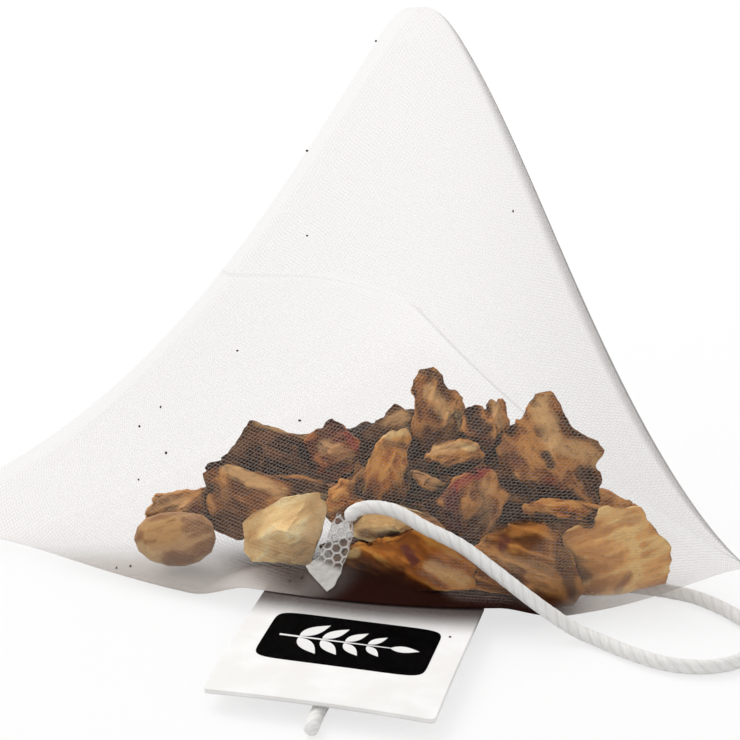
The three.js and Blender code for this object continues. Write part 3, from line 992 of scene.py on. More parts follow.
@dataclass
class MeshBag:
    """One sheet of sheer mesh rolled into a tube, seamed up its back and sealed flat across both ends.

    The left seal runs from the left corner to the tip and the right seal from the right corner to the back
    corner. The sheet is a surface of an angle round the tube and a share of the way between the seals.
    """

    shift: np.ndarray
    tag: CardTag
    string: CottonString
    width: float = 67.3 * MM
    depth: float = 63 * MM
    height: float = 46 * MM
    tip_side: float = 5.1 * MM
    rises: tuple[float, float, float] = (5.6 * MM, 4.2 * MM, 3.5 * MM)
    tip_place: float = -0.032
    left_place: tuple[float, float] = (-0.51, -0.289)
    right_place: tuple[float, float] = (0.49, -0.475)
    back_place: tuple[float, float] = (0.104, 0.525)
    section_power: float = 2.35
    swell: float = 0.18
    right_swell: float = 1.6 * MM
    left_sag: float = 4.4 * MM
    left_sag_way: tuple[float, float] = (0.74, -0.67)
    left_sag_lean: float = 0.45
    right_sag: float = 2.5 * MM
    bulge: float = 10.8 * MM
    bulge_drop: float = 1.8 * MM
    bulge_spread: float = 0.29
    belly: float = 7 * MM
    belly_spread: float = 0.6
    bend_height: float = 40.6 * MM
    bend_radius: float = 2.95 * MM
    press: float = 1 * MM
    ease: float = 2 * MM
    seal_width: float = 0.022
    seal_gap: float = 0.06 * MM
    sheet: float = 0.03 * MM
    overlap: float = 0.006
    lift: float = 0.12 * MM
    tag_ease: tuple[float, float] = (1.2 * MM, 7 * MM)
    cord_ease: tuple[float, float] = (1.0 * MM, 5.5 * MM)
    seal_fade: tuple[float, float] = (1.1 * MM, 1.5 * MM)
    seam_inset: float = 0.6 * MM
    front_turn: float = 0.75 * np.pi
    # Where the painted shade over the turned-under lower front lies, and where it is darkest.
    lower_front: tuple[float, float] = (0.6 * np.pi, 0.68 * np.pi)
    lower_end: tuple[float, float] = (0.84 * np.pi, 0.93 * np.pi)
    loaded_share: float = 0.55
    loaded_reach: tuple[float, float] = (0.15, 0.08)
    fold_height: tuple[float, float] = (4.4 * MM, 2.8 * MM)
    fold_fade: float = 1.6 * MM
    rows: int = 150
    columns: int = 250

    def corner(self, place: tuple[float, float], rise: float) -> np.ndarray:
        """Corner of the bag from its shares of the width and depth and its height."""
        return np.array([place[0] * self.width, place[1] * self.depth, rise])

    def bed(self, x: np.ndarray, y: np.ndarray) -> np.ndarray:
        """Height of what the film lies on: the table, the tag or the string, with eased edges.

        Args:
            x: Places to the right.
            y: Places to the back.

        Returns:
            Heights in metres.
        """
        dx = x - self.tag.centre[0]
        dy = y - self.tag.centre[1]
        across = np.abs(np.cos(self.tag.yaw) * dx + np.sin(self.tag.yaw) * dy) - self.tag.side / 2
        along = np.abs(-np.sin(self.tag.yaw) * dx + np.cos(self.tag.yaw) * dy) - self.tag.side / 2
        off_tag = np.hypot(np.maximum(across, 0), np.maximum(along, 0))
        tag_top = self.tag.low[2] + self.tag.thickness + self.lift
        over_tag = tag_top * (1 - smoothstep(off_tag, *self.tag_ease))
        off_cord = np.full(x.shape, np.inf)
        under = self.string.route[slice(*self.string.under_bag), :2]
        for start, end in zip(under[:-1], under[1:]):
            way = end - start
            share = np.clip(((x - start[0]) * way[0] + (y - start[1]) * way[1]) / (way @ way), 0, 1)
            off_x = x - start[0] - share * way[0]
            off_y = y - start[1] - share * way[1]
            off_cord = np.minimum(off_cord, np.hypot(off_x, off_y))
        cord_top = self.string.bed * MM + self.string.diameter / 2 + self.lift
        return np.maximum(over_tag, cord_top * (1 - smoothstep(off_cord, *self.cord_ease)))

    def ring(self, angle: np.ndarray, middle: float, spread: float) -> np.ndarray:
        """Bell-shaped bump round the tube, 1 at its middle angle."""
        turn = np.arctan2(np.sin(angle - middle), np.cos(angle - middle))
        return np.exp(-((turn / spread) ** 2) / 2)

    def points(self, angle: np.ndarray, share: np.ndarray, inset: float = 0.0) -> np.ndarray:
        """Film at an angle round the tube and a share of the way from the left seal to the right one.

        Each section is a rounded rectangle that is flat along the left seal at share 0 and along the right
        one at share 1. The seals sag, the fill pushes the lower front out and the belly down, the tip bends
        back, and what would hang below the table, tag or string lies on it.

        Args:
            angle: Radians round the tube: 0 up, a quarter turn to the front right, a half turn underneath.
            share: Share of the way between the seals.
            inset: Distance inwards from the film.

        Returns:
            Points in metres.
        """
        tip = np.array([self.tip_side, self.tip_place * self.depth, self.height])
        left = self.corner(self.left_place, self.rises[0])
        right = self.corner(self.right_place, self.rises[1])
        back = self.corner(self.back_place, self.rises[2])
        even = (1 - np.cos(np.pi * share)) / 2
        rounder = 1 + self.swell * 4 * even * (1 - even)
        inner = 1 - 2 * self.seal_width
        away = [np.clip((part - self.seal_width) / inner, 0, 1) for part in (1 - even, even)]
        halves = [np.linalg.norm(tip - left) / 2, np.linalg.norm(right - back) / 2]
        half_left, half_right = (
            np.maximum(part * rounder * half - inset, self.seal_gap) for part, half in zip(away, halves)
        )
        power = 2 / self.section_power
        u = np.sign(np.cos(angle)) * np.abs(np.cos(angle)) ** power
        v = np.sign(np.sin(angle)) * np.abs(np.sin(angle)) ** power
        middle = (tip + left) / 2 + even[..., None] * ((right + back) - (tip + left)) / 2
        place = middle + (u * half_left)[..., None] * (tip - left) / (2 * halves[0])
        place = place + (v * half_right)[..., None] * (right - back) / (2 * halves[1])
        x, y, z = place[..., 0], place[..., 1], place[..., 2]
        sag = self.left_sag * (1 - u * u) * (1 - self.left_sag_lean * u) * (1 - even) ** 2
        x = x + self.left_sag_way[0] * sag + self.right_swell * 4 * even * (1 - even) * np.maximum(v, 0)
        z = z + self.left_sag_way[1] * sag - self.right_sag * (1 - v * v) * even**2
        opened = np.sin(np.pi * even)
        front = self.ring(angle, self.front_turn, self.bulge_spread) * opened**0.55
        belly = self.ring(angle, np.pi, self.belly_spread) * opened**0.5
        y = y - (self.bulge - inset) * front
        z = z - self.bulge_drop * front - self.belly * belly
        bend = np.maximum(z - self.bend_height, 0) / self.bend_radius
        y = y + self.bend_radius * (1 - np.cos(bend))
        z = np.where(bend > 0, self.bend_height + self.bend_radius * np.sin(bend), z)
        x = x + self.shift[0]
        y = y + self.shift[1]
        bed = self.bed(x, y)
        over = z - bed
        eased = (over + self.press) ** 2 / (2 * (self.press + self.ease))
        free = over - (self.ease - self.press) / 2
        settled = np.where(over < -self.press, 0, np.where(over < self.ease, eased, free))
        underside = smoothstep(-np.cos(angle), 0.45, 0.72) * np.minimum(1, 5 * opened)
        return np.stack([x, y, bed + settled + inset * underside], axis=-1)

    def surface(self, inset: float = 0.0, lap: float = 0.0) -> np.ndarray:
        """Grid of the whole film, from the back seam round the front to the back seam again.

        Args:
            inset: Distance inwards from the film.
            lap: Radians by which the sheet laps over itself at the seam.

        Returns:
            Grid, shape (rows, columns, 3).
        """
        angle = np.linspace(-0.5 * np.pi, 1.5 * np.pi + lap, self.columns)
        angle, share = np.meshgrid(angle, np.linspace(0, 1, self.rows))
        return self.points(angle, share, inset)

    def build(self) -> Any:
        """Returns:
            The film.
        """
        points = self.surface(lap=self.overlap)
        round_step = np.linalg.norm(np.diff(points, axis=1), axis=-1)
        round_way = np.concatenate([np.zeros((self.rows, 1)), np.cumsum(round_step, axis=1)], axis=1)
        front = int(self.columns * 0.6)
        round_way = round_way - round_way[:, front : front + 1]
        along_step = np.linalg.norm(np.diff(points, axis=0), axis=-1)
        along_way = np.concatenate([np.zeros((1, self.columns)), np.cumsum(along_step, axis=0)], axis=0)
        piece = new_object("mesh_film", points, grid_faces(self.rows, self.columns, wrap=False).tolist())
        add_uv(piece, np.stack([round_way, along_way], axis=-1))
        edge = np.minimum(along_way, along_way[-1:] - along_way)
        lap = np.minimum(round_way - round_way[:, :1], round_way[:, -1:] - round_way)
        edge = np.minimum(edge, lap + self.seam_inset)
        add_attribute(piece, "seal", 1 - smoothstep(edge, *self.seal_fade).ravel())
        self.shade(piece, points)
        wall = piece.modifiers.new("sheet", "SOLIDIFY")
        wall.thickness = self.sheet
        wall.offset = -1.0
        piece.data.materials.append(MeshFinish().build())
        stays_put(piece, "mesh", "mesh_bag")
        return piece

    def shade(self, piece: Any, points: np.ndarray) -> None:
        """Gives the film three values: how far it is edge on, turned under at its lower front and loaded.

        It is edge on as it turns from the eye, and more so to its right and over its right half, which is
        painted shade. It is turned under as its normal turns down, or near the front fold as it comes low,
        and loaded where fruit bears on that front; the finish paints shade over both. All three are eased
        steps.

        Args:
            piece: The film.
            points: Its grid, shape (rows, columns, 3).
        """
        normal = surface_normals(points)
        facing = -(normal @ self.tag.view.forward)
        angle = np.linspace(-0.5 * np.pi, 1.5 * np.pi + self.overlap, self.columns)[None]
        share = np.linspace(0, 1, self.rows)[:, None]
        back_seal = smoothstep(np.abs(angle - 0.5 * np.pi), 0.3, 0.9) * smoothstep(share, 0.66, 0.82)
        # Painted shade: the film is made dimmer to its right and over its right half.
        right_shade_side = smoothstep(normal[..., 0], 0.1, 0.7)
        edge_on_and_right_shade = smoothstep(facing, 0.94 + 0.06 * right_shade_side, 0.25) * (facing > -0.05) * (1 - back_seal)
        right_half = smoothstep(points[..., 0] - self.shift[0], 0.0, 24 * MM)
        turned = 0.3 * right_half * smoothstep(facing, -0.05, 0.2)
        edge_on_and_right_shade = np.maximum(edge_on_and_right_shade * (0.2 + 0.8 * right_shade_side), turned)
        # Painted shade over the lower front as it turns under, darkest where fruit bears on it.
        lower = smoothstep(angle, *self.lower_front) * (1 - smoothstep(angle, *self.lower_end))
        low_front = lower * smoothstep(np.sin(np.pi * share), 0.5, 0.98)
        under = smoothstep(-normal[..., 2], -0.8, 0.3) * low_front
        loaded = smoothstep(np.abs(share - self.loaded_share), *self.loaded_reach) * np.ones(under.shape)
        high, low = self.fold_height
        reach = high + (low - high) * smoothstep(share, 0.49, 0.56)
        near_fold = smoothstep(points[..., 2], reach, reach - self.fold_fade) * low_front * loaded
        under = np.maximum(under, 0.8 * near_fold)
        for name, values in (("edge_on_and_right_shade", edge_on_and_right_shade), ("under", under), ("loaded", loaded)):
            add_attribute(piece, name, values.ravel())


# Fill


class Tone(Enum):
    """Colours of single marks on the fruit."""

    PALE = srgb(236, 202, 140)
    TAN = srgb(220, 172, 112)
    ORANGE = srgb(206, 136, 66)
    BROWN = srgb(122, 80, 48)
    DARK = srgb(44, 28, 26)
    RED = srgb(150, 44, 42)
    PLUM = srgb(92, 40, 46)


@dataclass(frozen=True)
class Mark:
    """Band of colour on a piece, along a line in the photograph: mostly the piece's own colour, some painted
    shade.
    """

    start: Pixel
    end: Pixel
    width: float
    tone: Tone
    strength: float = 0.8


def dried_flesh() -> Any:
    """Shared look of dried flesh: blotches, fibres, specks and marks between three colours, with painted
    light and shade.

    Returns:
        The node group.
    """
    white = (1.0, 1.0, 1.0, 1.0)
    gap_shade_tone = srgb(30, 13, 7)
    inputs = {"Base": white, "Light": white, "Dark": white}
    outputs = {"Colour": "NodeSocketColor", "Height": "NodeSocketFloat", "Gloss": "NodeSocketFloat"}
    group, shader, start, end = new_group("dried_flesh", inputs, outputs)
    base, light, dark = (start.outputs[name] for name in inputs)
    place = shader.object_place()
    along = shader.add("Attribute", attribute_name="fibre_place").outputs["Vector"]
    mark = shader.add("Attribute", attribute_name="mark")
    blotch = shader.noise(place, 330.0, 4.0)
    fibre = shader.noise(along, 1.7, 5.0, 0.65)
    speck = shader.noise(place, 2400.0, 2.0)
    # Painted light on the ridges of the folds and painted shade in their valleys, mixed with random blotches.
    ridge_light_valley_shade = shader.math("MULTIPLY", shader.attribute("ridge_light_valley_shade"), 0.6)
    ridge_light_and_blotch = shader.math("ADD", ridge_light_valley_shade, shader.math("MULTIPLY", blotch, 0.5))
    tone = shader.mix(shader.spread(ridge_light_and_blotch, 0.52, 0.86), base, light)
    tone = shader.mix(shader.spread(ridge_light_and_blotch, 0.5, 0.2, 0.0, 0.6), tone, dark)
    tone = shader.mix(mark.outputs["Alpha"], tone, mark.outputs["Color"])
    tone = shader.mix(shader.spread(fibre, 0.5, 0.3, 0.0, 0.45), tone, dark)
    tone = shader.mix(shader.spread(fibre, 0.52, 0.7, 0.0, 0.3), tone, light)
    tone = shader.mix(shader.spread(speck, 0.6, 0.72, 0.0, 0.35), tone, dark)
    # Painted shade in the gaps of the heap.
    tone = shader.mix(shader.math("MULTIPLY", shader.attribute("gap_shade"), 0.9), tone, gap_shade_tone)
    height = shader.math("ADD", fibre, shader.math("MULTIPLY", speck, 0.35))
    gloss = shader.spread(blotch, 0.3, 0.7, -0.08, 0.1)
    shader.feed(end, {"Colour": tone, "Height": height, "Gloss": gloss})
    return group


@dataclass(frozen=True)
class FruitLook:
    """Finish of one kind of fill: colours, height of its folds and fibres in millimetres, edges and gloss."""

    slot: str
    base: Colour
    light: Colour
    dark: Colour
    fold: float = 0.26
    fibre: float = 0.09
    blunt: float = 0.3
    roughness: float = 0.5
    specular: float = 0.08
    bump_height: float = 0.16 * MM

    def build(self, name: str, flesh: Any) -> Any:
        """Makes the material.

        Args:
            name: Name of the material.
            flesh: Shared group of dried flesh.

        Returns:
            The material.
        """
        material, shader, surface = new_material(name)
        colours = {"Base": self.base, "Light": self.light, "Dark": self.dark}
        skin = shader.add("Group", colours, node_tree=flesh).outputs
        bump = shader.add("Bump", {"Strength": 0.7, "Distance": self.bump_height, "Height": skin["Height"]})
        rough = shader.math("ADD", skin["Gloss"], self.roughness)
        shader.feed(surface, {"Base Color": skin["Colour"], "Roughness": rough, "Normal": bump.outputs[0]})
        shader.feed(surface, {"Specular IOR Level": self.specular})
        return material


class Fruit(Enum):
    """Kinds of fill."""

    NUT = FruitLook(
        "nut", srgb(162, 117, 76), srgb(190, 147, 98), srgb(126, 82, 47),
        fold=0.02, fibre=0.02, blunt=1.0, roughness=0.45,
    )
    PALE = FruitLook(
        "pale_fruit", srgb(250, 212, 146), srgb(254, 230, 176), srgb(208, 154, 90), fold=0.1, fibre=0.04
    )
    GOLD = FruitLook(
        "orange_fruit", srgb(240, 178, 102), srgb(248, 204, 132), srgb(176, 112, 58), fold=0.2, fibre=0.07
    )
    ORANGE = FruitLook("orange_fruit", srgb(184, 108, 40), srgb(208, 144, 66), srgb(90, 40, 12), fibre=0.08)
    BROWN = FruitLook(
        "brown_fruit", srgb(144, 86, 38), srgb(196, 134, 68), srgb(60, 29, 13), fold=0.28, roughness=0.55
    )
    DARK = FruitLook("dark_fruit", srgb(56, 28, 16), srgb(102, 62, 34), srgb(24, 12, 8))
    RED = FruitLook("red_fruit", srgb(122, 58, 24), srgb(166, 98, 46), srgb(48, 18, 10))


@dataclass(frozen=True)
class FruitPiece:
    """Piece of fill that shows.

    It has a node, a kind and an outline in the photograph, marks, the slant of its fibres in degrees, the
    depth of its rim as a share of its thickness, and a slot where that isn't its kind's own.
    """

    node: str
    kind: Fruit
    outline: tuple[Pixel, ...]
    marks: tuple[Mark, ...] = ()
    grain: float = 20.0
    rim: float = 0.5
    slot: str = ""


SHOWN_FRUIT = (
    FruitPiece(
        "hazelnut",
        Fruit.NUT,
        (
            (134, 539), (137, 527), (146, 518), (160, 513), (183, 512), (203, 515), (213, 524),
            (216, 539), (212, 552), (200, 561), (185, 566), (168, 566), (150, 560), (139, 551),
        ),
        (
            Mark((140, 548), (158, 560), 8, Tone.PALE, 0.45),
            Mark((172, 556), (190, 558), 6, Tone.BROWN, 0.6),
            # Painted shade along its upper right edge.
            Mark((184, 520), (200, 523), 3, Tone.BROWN, 0.5),
        ),
    ),
    FruitPiece(
        "pear_dice_left",
        Fruit.BROWN,
        (
            (144, 520), (148, 507), (158, 496), (176, 493), (197, 491), (206, 487), (216, 490),
            (220, 514), (210, 526), (185, 524), (160, 524),
        ),
        (
            Mark((154, 506), (182, 502), 10, Tone.TAN, 0.5),
            Mark((196, 506), (214, 510), 9, Tone.PLUM, 0.5),
        ),
    ),
    FruitPiece(
        "date_slab",
        Fruit.DARK,
        (
            (202, 468), (208, 463), (219, 460), (228, 450), (234, 446), (240, 433), (249, 421),
            (256, 421), (268, 427), (283, 431), (300, 434), (322, 438), (340, 446), (352, 458),
            (354, 474), (340, 482), (310, 484), (280, 480), (250, 476), (225, 474), (210, 476),
        ),
        (
            Mark((256, 423), (336, 443), 3.5, Tone.TAN, 0.55),
            Mark((244, 434), (230, 452), 6, Tone.BROWN, 0.5),
            Mark((320, 444), (348, 462), 7, Tone.BROWN, 0.7),
        ),
        grain=-18.0,
    ),
    FruitPiece(
        "apple_dice_left",
        Fruit.BROWN,
        (
            (203, 474), (214, 466), (228, 464), (250, 470), (270, 474), (300, 479), (322, 482),
            (334, 492), (310, 508), (280, 518), (262, 526), (246, 538), (229, 540), (220, 534),
            (214, 526), (210, 514), (205, 498), (203, 486),
        ),
        (
            Mark((226, 468), (282, 492), 7, Tone.TAN, 0.85),
            Mark((298, 492), (330, 488), 8, Tone.DARK, 0.75),
            Mark((222, 498), (236, 530), 12, Tone.BROWN, 0.6),
        ),
        grain=-18.0,
    ),
    FruitPiece(
        "pineapple_dice",
        Fruit.PALE,
        (
            (242, 524), (252, 514), (268, 507), (282, 499), (300, 496), (318, 492), (327, 496),
            (328, 506), (324, 522), (319, 538), (313, 556), (308, 572), (300, 577), (285, 568),
            (270, 563), (252, 562), (243, 552), (244, 538),
        ),
        (
            # Painted shade on its right face.
            Mark((320, 510), (300, 566), 9, Tone.TAN, 0.6),
            Mark((252, 524), (310, 498), 8, Tone.PALE, 0.5),
            Mark((262, 548), (296, 552), 3, Tone.TAN, 0.4),
        ),
        grain=35.0,
    ),
    FruitPiece(
        "cherry_piece",
        Fruit.RED,
        (
            (305, 440), (318, 431), (326, 421), (332, 417), (338, 422), (343, 430), (352, 434),
            (358, 441), (358, 455), (353, 470), (338, 480), (320, 474), (308, 456),
        ),
        (
            Mark((345, 432), (356, 448), 4, Tone.RED, 0.65),
            Mark((320, 431), (336, 428), 6, Tone.DARK, 0.7),
            Mark((326, 446), (346, 456), 9, Tone.TAN, 0.6),
        ),
    ),
    FruitPiece(
        "apricot_dice",
        Fruit.ORANGE,
        (
            (361, 492), (364, 474), (374, 453), (380, 442), (388, 434), (398, 430), (408, 428),
            (409, 440), (405, 452), (406, 470), (410, 484), (402, 502), (392, 508), (375, 510),
            (362, 508),
        ),
        (
            Mark((386, 434), (406, 432), 5, Tone.PALE, 0.8),
            Mark((386, 444), (404, 446), 4, Tone.BROWN, 0.8),
            Mark((396, 486), (404, 500), 7, Tone.BROWN, 0.7),
        ),
        grain=70.0,
    ),
    FruitPiece(
        "fig_dice",
        Fruit.DARK,
        (
            (356, 440), (366, 430), (372, 424), (384, 417), (388, 408), (394, 404), (406, 408),
            (418, 410), (426, 424), (428, 448), (448, 498), (444, 506), (410, 504), (388, 476),
            (376, 470), (362, 466),
        ),
        (
            Mark((372, 428), (416, 412), 12, Tone.BROWN, 0.9),
            Mark((400, 416), (420, 432), 7, Tone.TAN, 0.7),
            Mark((384, 424), (392, 420), 5, Tone.TAN, 0.5),
        ),
    ),
    FruitPiece(
        "rosehip_piece",
        Fruit.BROWN,
        (
            (420, 368), (431, 366), (438, 371), (443, 376), (445, 386), (459, 394), (461, 404),
            (463, 418), (469, 432), (480, 446), (474, 456), (455, 454), (440, 458), (424, 456),
            (414, 446), (412, 430), (417, 409), (415, 400), (412, 388), (416, 378),
        ),
        (
            Mark((430, 392), (446, 414), 9, Tone.TAN, 0.7),
            Mark((456, 414), (474, 446), 4, Tone.PALE, 0.85),
            Mark((422, 370), (440, 378), 6, Tone.DARK, 0.75),
            Mark((436, 430), (452, 442), 7, Tone.DARK, 0.5),
        ),
        grain=75.0,
    ),
    FruitPiece(
        "apple_wedge",
        Fruit.BROWN,
        (
            (426, 458), (433, 446), (450, 441), (465, 440), (477, 444), (482, 455), (478, 470),
            (458, 478), (440, 474), (428, 466),
        ),
        (
            Mark((434, 450), (458, 446), 6, Tone.TAN, 0.75),
            Mark((462, 446), (474, 448), 5, Tone.PALE, 0.7),
            Mark((440, 470), (474, 466), 6, Tone.DARK, 0.6),
        ),
        slot="pale_fruit",
    ),
    FruitPiece(
        "coconut_sliver",
        Fruit.BROWN,
        (
            (462, 422), (468, 408), (478, 406), (486, 408), (490, 399), (496, 405), (499, 398),
            (505, 404), (505, 420), (507, 446), (506, 466), (492, 470), (474, 450), (466, 434),
        ),
        (
            Mark((468, 412), (484, 430), 10, Tone.DARK, 0.9),
            Mark((494, 404), (500, 424), 5, Tone.TAN, 0.8),
            Mark((488, 440), (500, 450), 7, Tone.PLUM, 0.8),
        ),
        grain=80.0,
        slot="pale_fruit",
    ),
    FruitPiece(
        "almond_sliver",
        Fruit.GOLD,
        (
            (409, 469), (418, 470), (430, 475), (443, 481), (452, 487), (446, 493), (432, 492),
            (418, 485), (411, 477),
        ),
        (
            Mark((410, 472), (448, 490), 5, Tone.TAN, 0.6),
        ),
        grain=-25.0,
        slot="nut",
    ),
    FruitPiece(
        "strawberry_piece",
        Fruit.BROWN,
        (
            (444, 496), (455, 481), (468, 472), (480, 466), (490, 464), (496, 474), (507, 496),
            (499, 514), (490, 532), (478, 540), (462, 536), (446, 528), (428, 518), (422, 508),
            (426, 498),
        ),
        (
            Mark((488, 467), (454, 486), 6, Tone.RED, 0.8),
            Mark((448, 496), (456, 526), 9, Tone.PLUM, 0.85),
            Mark((486, 490), (486, 518), 9, Tone.TAN, 0.35),
            Mark((430, 500), (432, 516), 8, Tone.DARK, 0.9),
        ),
        grain=60.0,
        slot="red_fruit",
    ),
    FruitPiece(
        "apple_dice_right",
        Fruit.BROWN,
        (
            (499, 449), (507, 433), (516, 422), (523, 415), (529, 404), (536, 394), (545, 392),
            (553, 393), (562, 403), (564, 417), (571, 427), (578, 433), (592, 440), (607, 450),
            (602, 458), (596, 467), (601, 474), (602, 484), (600, 508), (584, 522), (566, 534),
            (548, 540), (525, 540), (492, 534), (496, 490), (497, 464),
        ),
        (
            Mark((540, 404), (552, 436), 11, Tone.TAN, 0.9),
            Mark((556, 444), (592, 456), 11, Tone.TAN, 0.85),
            Mark((566, 424), (600, 446), 4, Tone.BROWN, 0.8),
            Mark((545, 455), (551, 465), 5, Tone.DARK, 0.9),
            Mark((506, 446), (520, 462), 8, Tone.PLUM, 0.5),
            Mark((506, 484), (544, 490), 10, Tone.DARK, 0.85),
            Mark((548, 482), (566, 492), 7, Tone.RED, 0.6),
            Mark((584, 474), (598, 498), 9, Tone.DARK, 0.8),
            Mark((506, 512), (560, 514), 13, Tone.DARK, 0.95),
        ),
        grain=-40.0,
    ),
    FruitPiece(
        "pear_dice_right",
        Fruit.GOLD,
        (
            (556, 540), (566, 532), (578, 528), (592, 526), (600, 510), (612, 507), (630, 508),
            (642, 507), (648, 518), (652, 527), (662, 536), (670, 546), (672, 558), (671, 570),
            (665, 585), (645, 595), (617, 600), (598, 600), (582, 597), (574, 582), (566, 560),
        ),
        (
            # Painted shade in a fold.
            Mark((618, 590), (630, 574), 4, Tone.PLUM, 0.5),
            Mark((606, 514), (640, 520), 9, Tone.PALE, 0.35),
            Mark((576, 536), (604, 580), 12, Tone.ORANGE, 0.5),
        ),
        grain=20.0,
        rim=0.25,
    ),
    FruitPiece(
        "apple_dice_front",
        Fruit.BROWN,
        (
            (475, 562), (479, 548), (490, 534), (502, 528), (514, 524), (530, 521), (546, 522),
            (556, 532), (562, 540), (574, 564), (584, 592), (572, 606), (548, 611), (518, 611),
            (495, 606), (480, 592),
        ),
        (
            Mark((492, 534), (548, 526), 6, Tone.ORANGE, 0.7),
            # Painted shade in the crevice against pear_dice_right.
            Mark((560, 548), (572, 592), 9, Tone.DARK, 0.7),
            Mark((502, 548), (504, 540), 6, Tone.PLUM, 0.7),
            Mark((506, 560), (546, 572), 10, Tone.TAN, 0.3),
        ),
        grain=-20.0,
        rim=0.2,
    ),
    FruitPiece(
        "orange_dice_front",
        Fruit.ORANGE,
        (
            (334, 560), (345, 550), (360, 543), (385, 540), (400, 533), (412, 528), (430, 530),
            (448, 536), (464, 543), (478, 556), (480, 577), (476, 596), (455, 606), (420, 608),
            (380, 606), (346, 598), (334, 580),
        ),
        (
            # Painted shadow low on its front, where the heap meets the bag's floor.
            Mark((340, 584), (400, 598), 18, Tone.DARK, 0.97),
            Mark((348, 562), (394, 576), 15, Tone.DARK, 0.7),
            Mark((362, 574), (392, 584), 9, Tone.DARK, 0.8),
            Mark((406, 548), (414, 562), 5, Tone.PLUM, 0.8),
            Mark((346, 552), (356, 552), 5, Tone.PALE, 0.5),
            Mark((430, 566), (464, 580), 7, Tone.PALE, 0.4),
            # Painted shadow along its bottom edge.
            Mark((400, 602), (474, 603), 8, Tone.DARK, 0.8),
        ),
        grain=-30.0,
        rim=0.2,
    ),
    FruitPiece(
        "peach_dice",
        Fruit.PALE,
        (
            (348, 522), (356, 512), (372, 504), (395, 505), (412, 509), (432, 517), (446, 528),
            (440, 542), (405, 542), (375, 544), (355, 538),
        ),
        (
            Mark((362, 534), (404, 538), 5, Tone.BROWN, 0.8),
            Mark((424, 522), (440, 536), 11, Tone.ORANGE, 0.9),
        ),
        grain=-20.0,
    ),
    FruitPiece(
        "orange_peel",
        Fruit.ORANGE,
        (
            (326, 502), (334, 490), (342, 482), (354, 483), (362, 492), (361, 508), (350, 518),
            (336, 522), (326, 516),
        ),
        (
            Mark((350, 486), (358, 498), 4, Tone.BROWN, 0.6),
        ),
    ),
    FruitPiece(
        "peel_slab",
        Fruit.ORANGE,
        (
            (520, 508), (530, 504), (545, 501), (560, 500), (578, 503), (598, 508), (608, 518),
            (600, 526), (585, 521), (570, 516), (552, 516), (535, 515), (524, 514),
        ),
        (
            Mark((536, 514), (556, 518), 3, Tone.DARK, 0.9),
            Mark((566, 512), (596, 522), 2, Tone.DARK, 0.85),
        ),
        grain=-15.0,
    ),
)

HIDDEN_FRUIT = {
    "apple_dice_low": (Fruit.BROWN, 1.0),
    "pear_dice_low": (Fruit.BROWN, 1.0),
    "fig_dice_back": (Fruit.DARK, 0.45),
    "date_dice_back": (Fruit.DARK, 0.3),
    "raisin": (Fruit.DARK, 1.0),
}


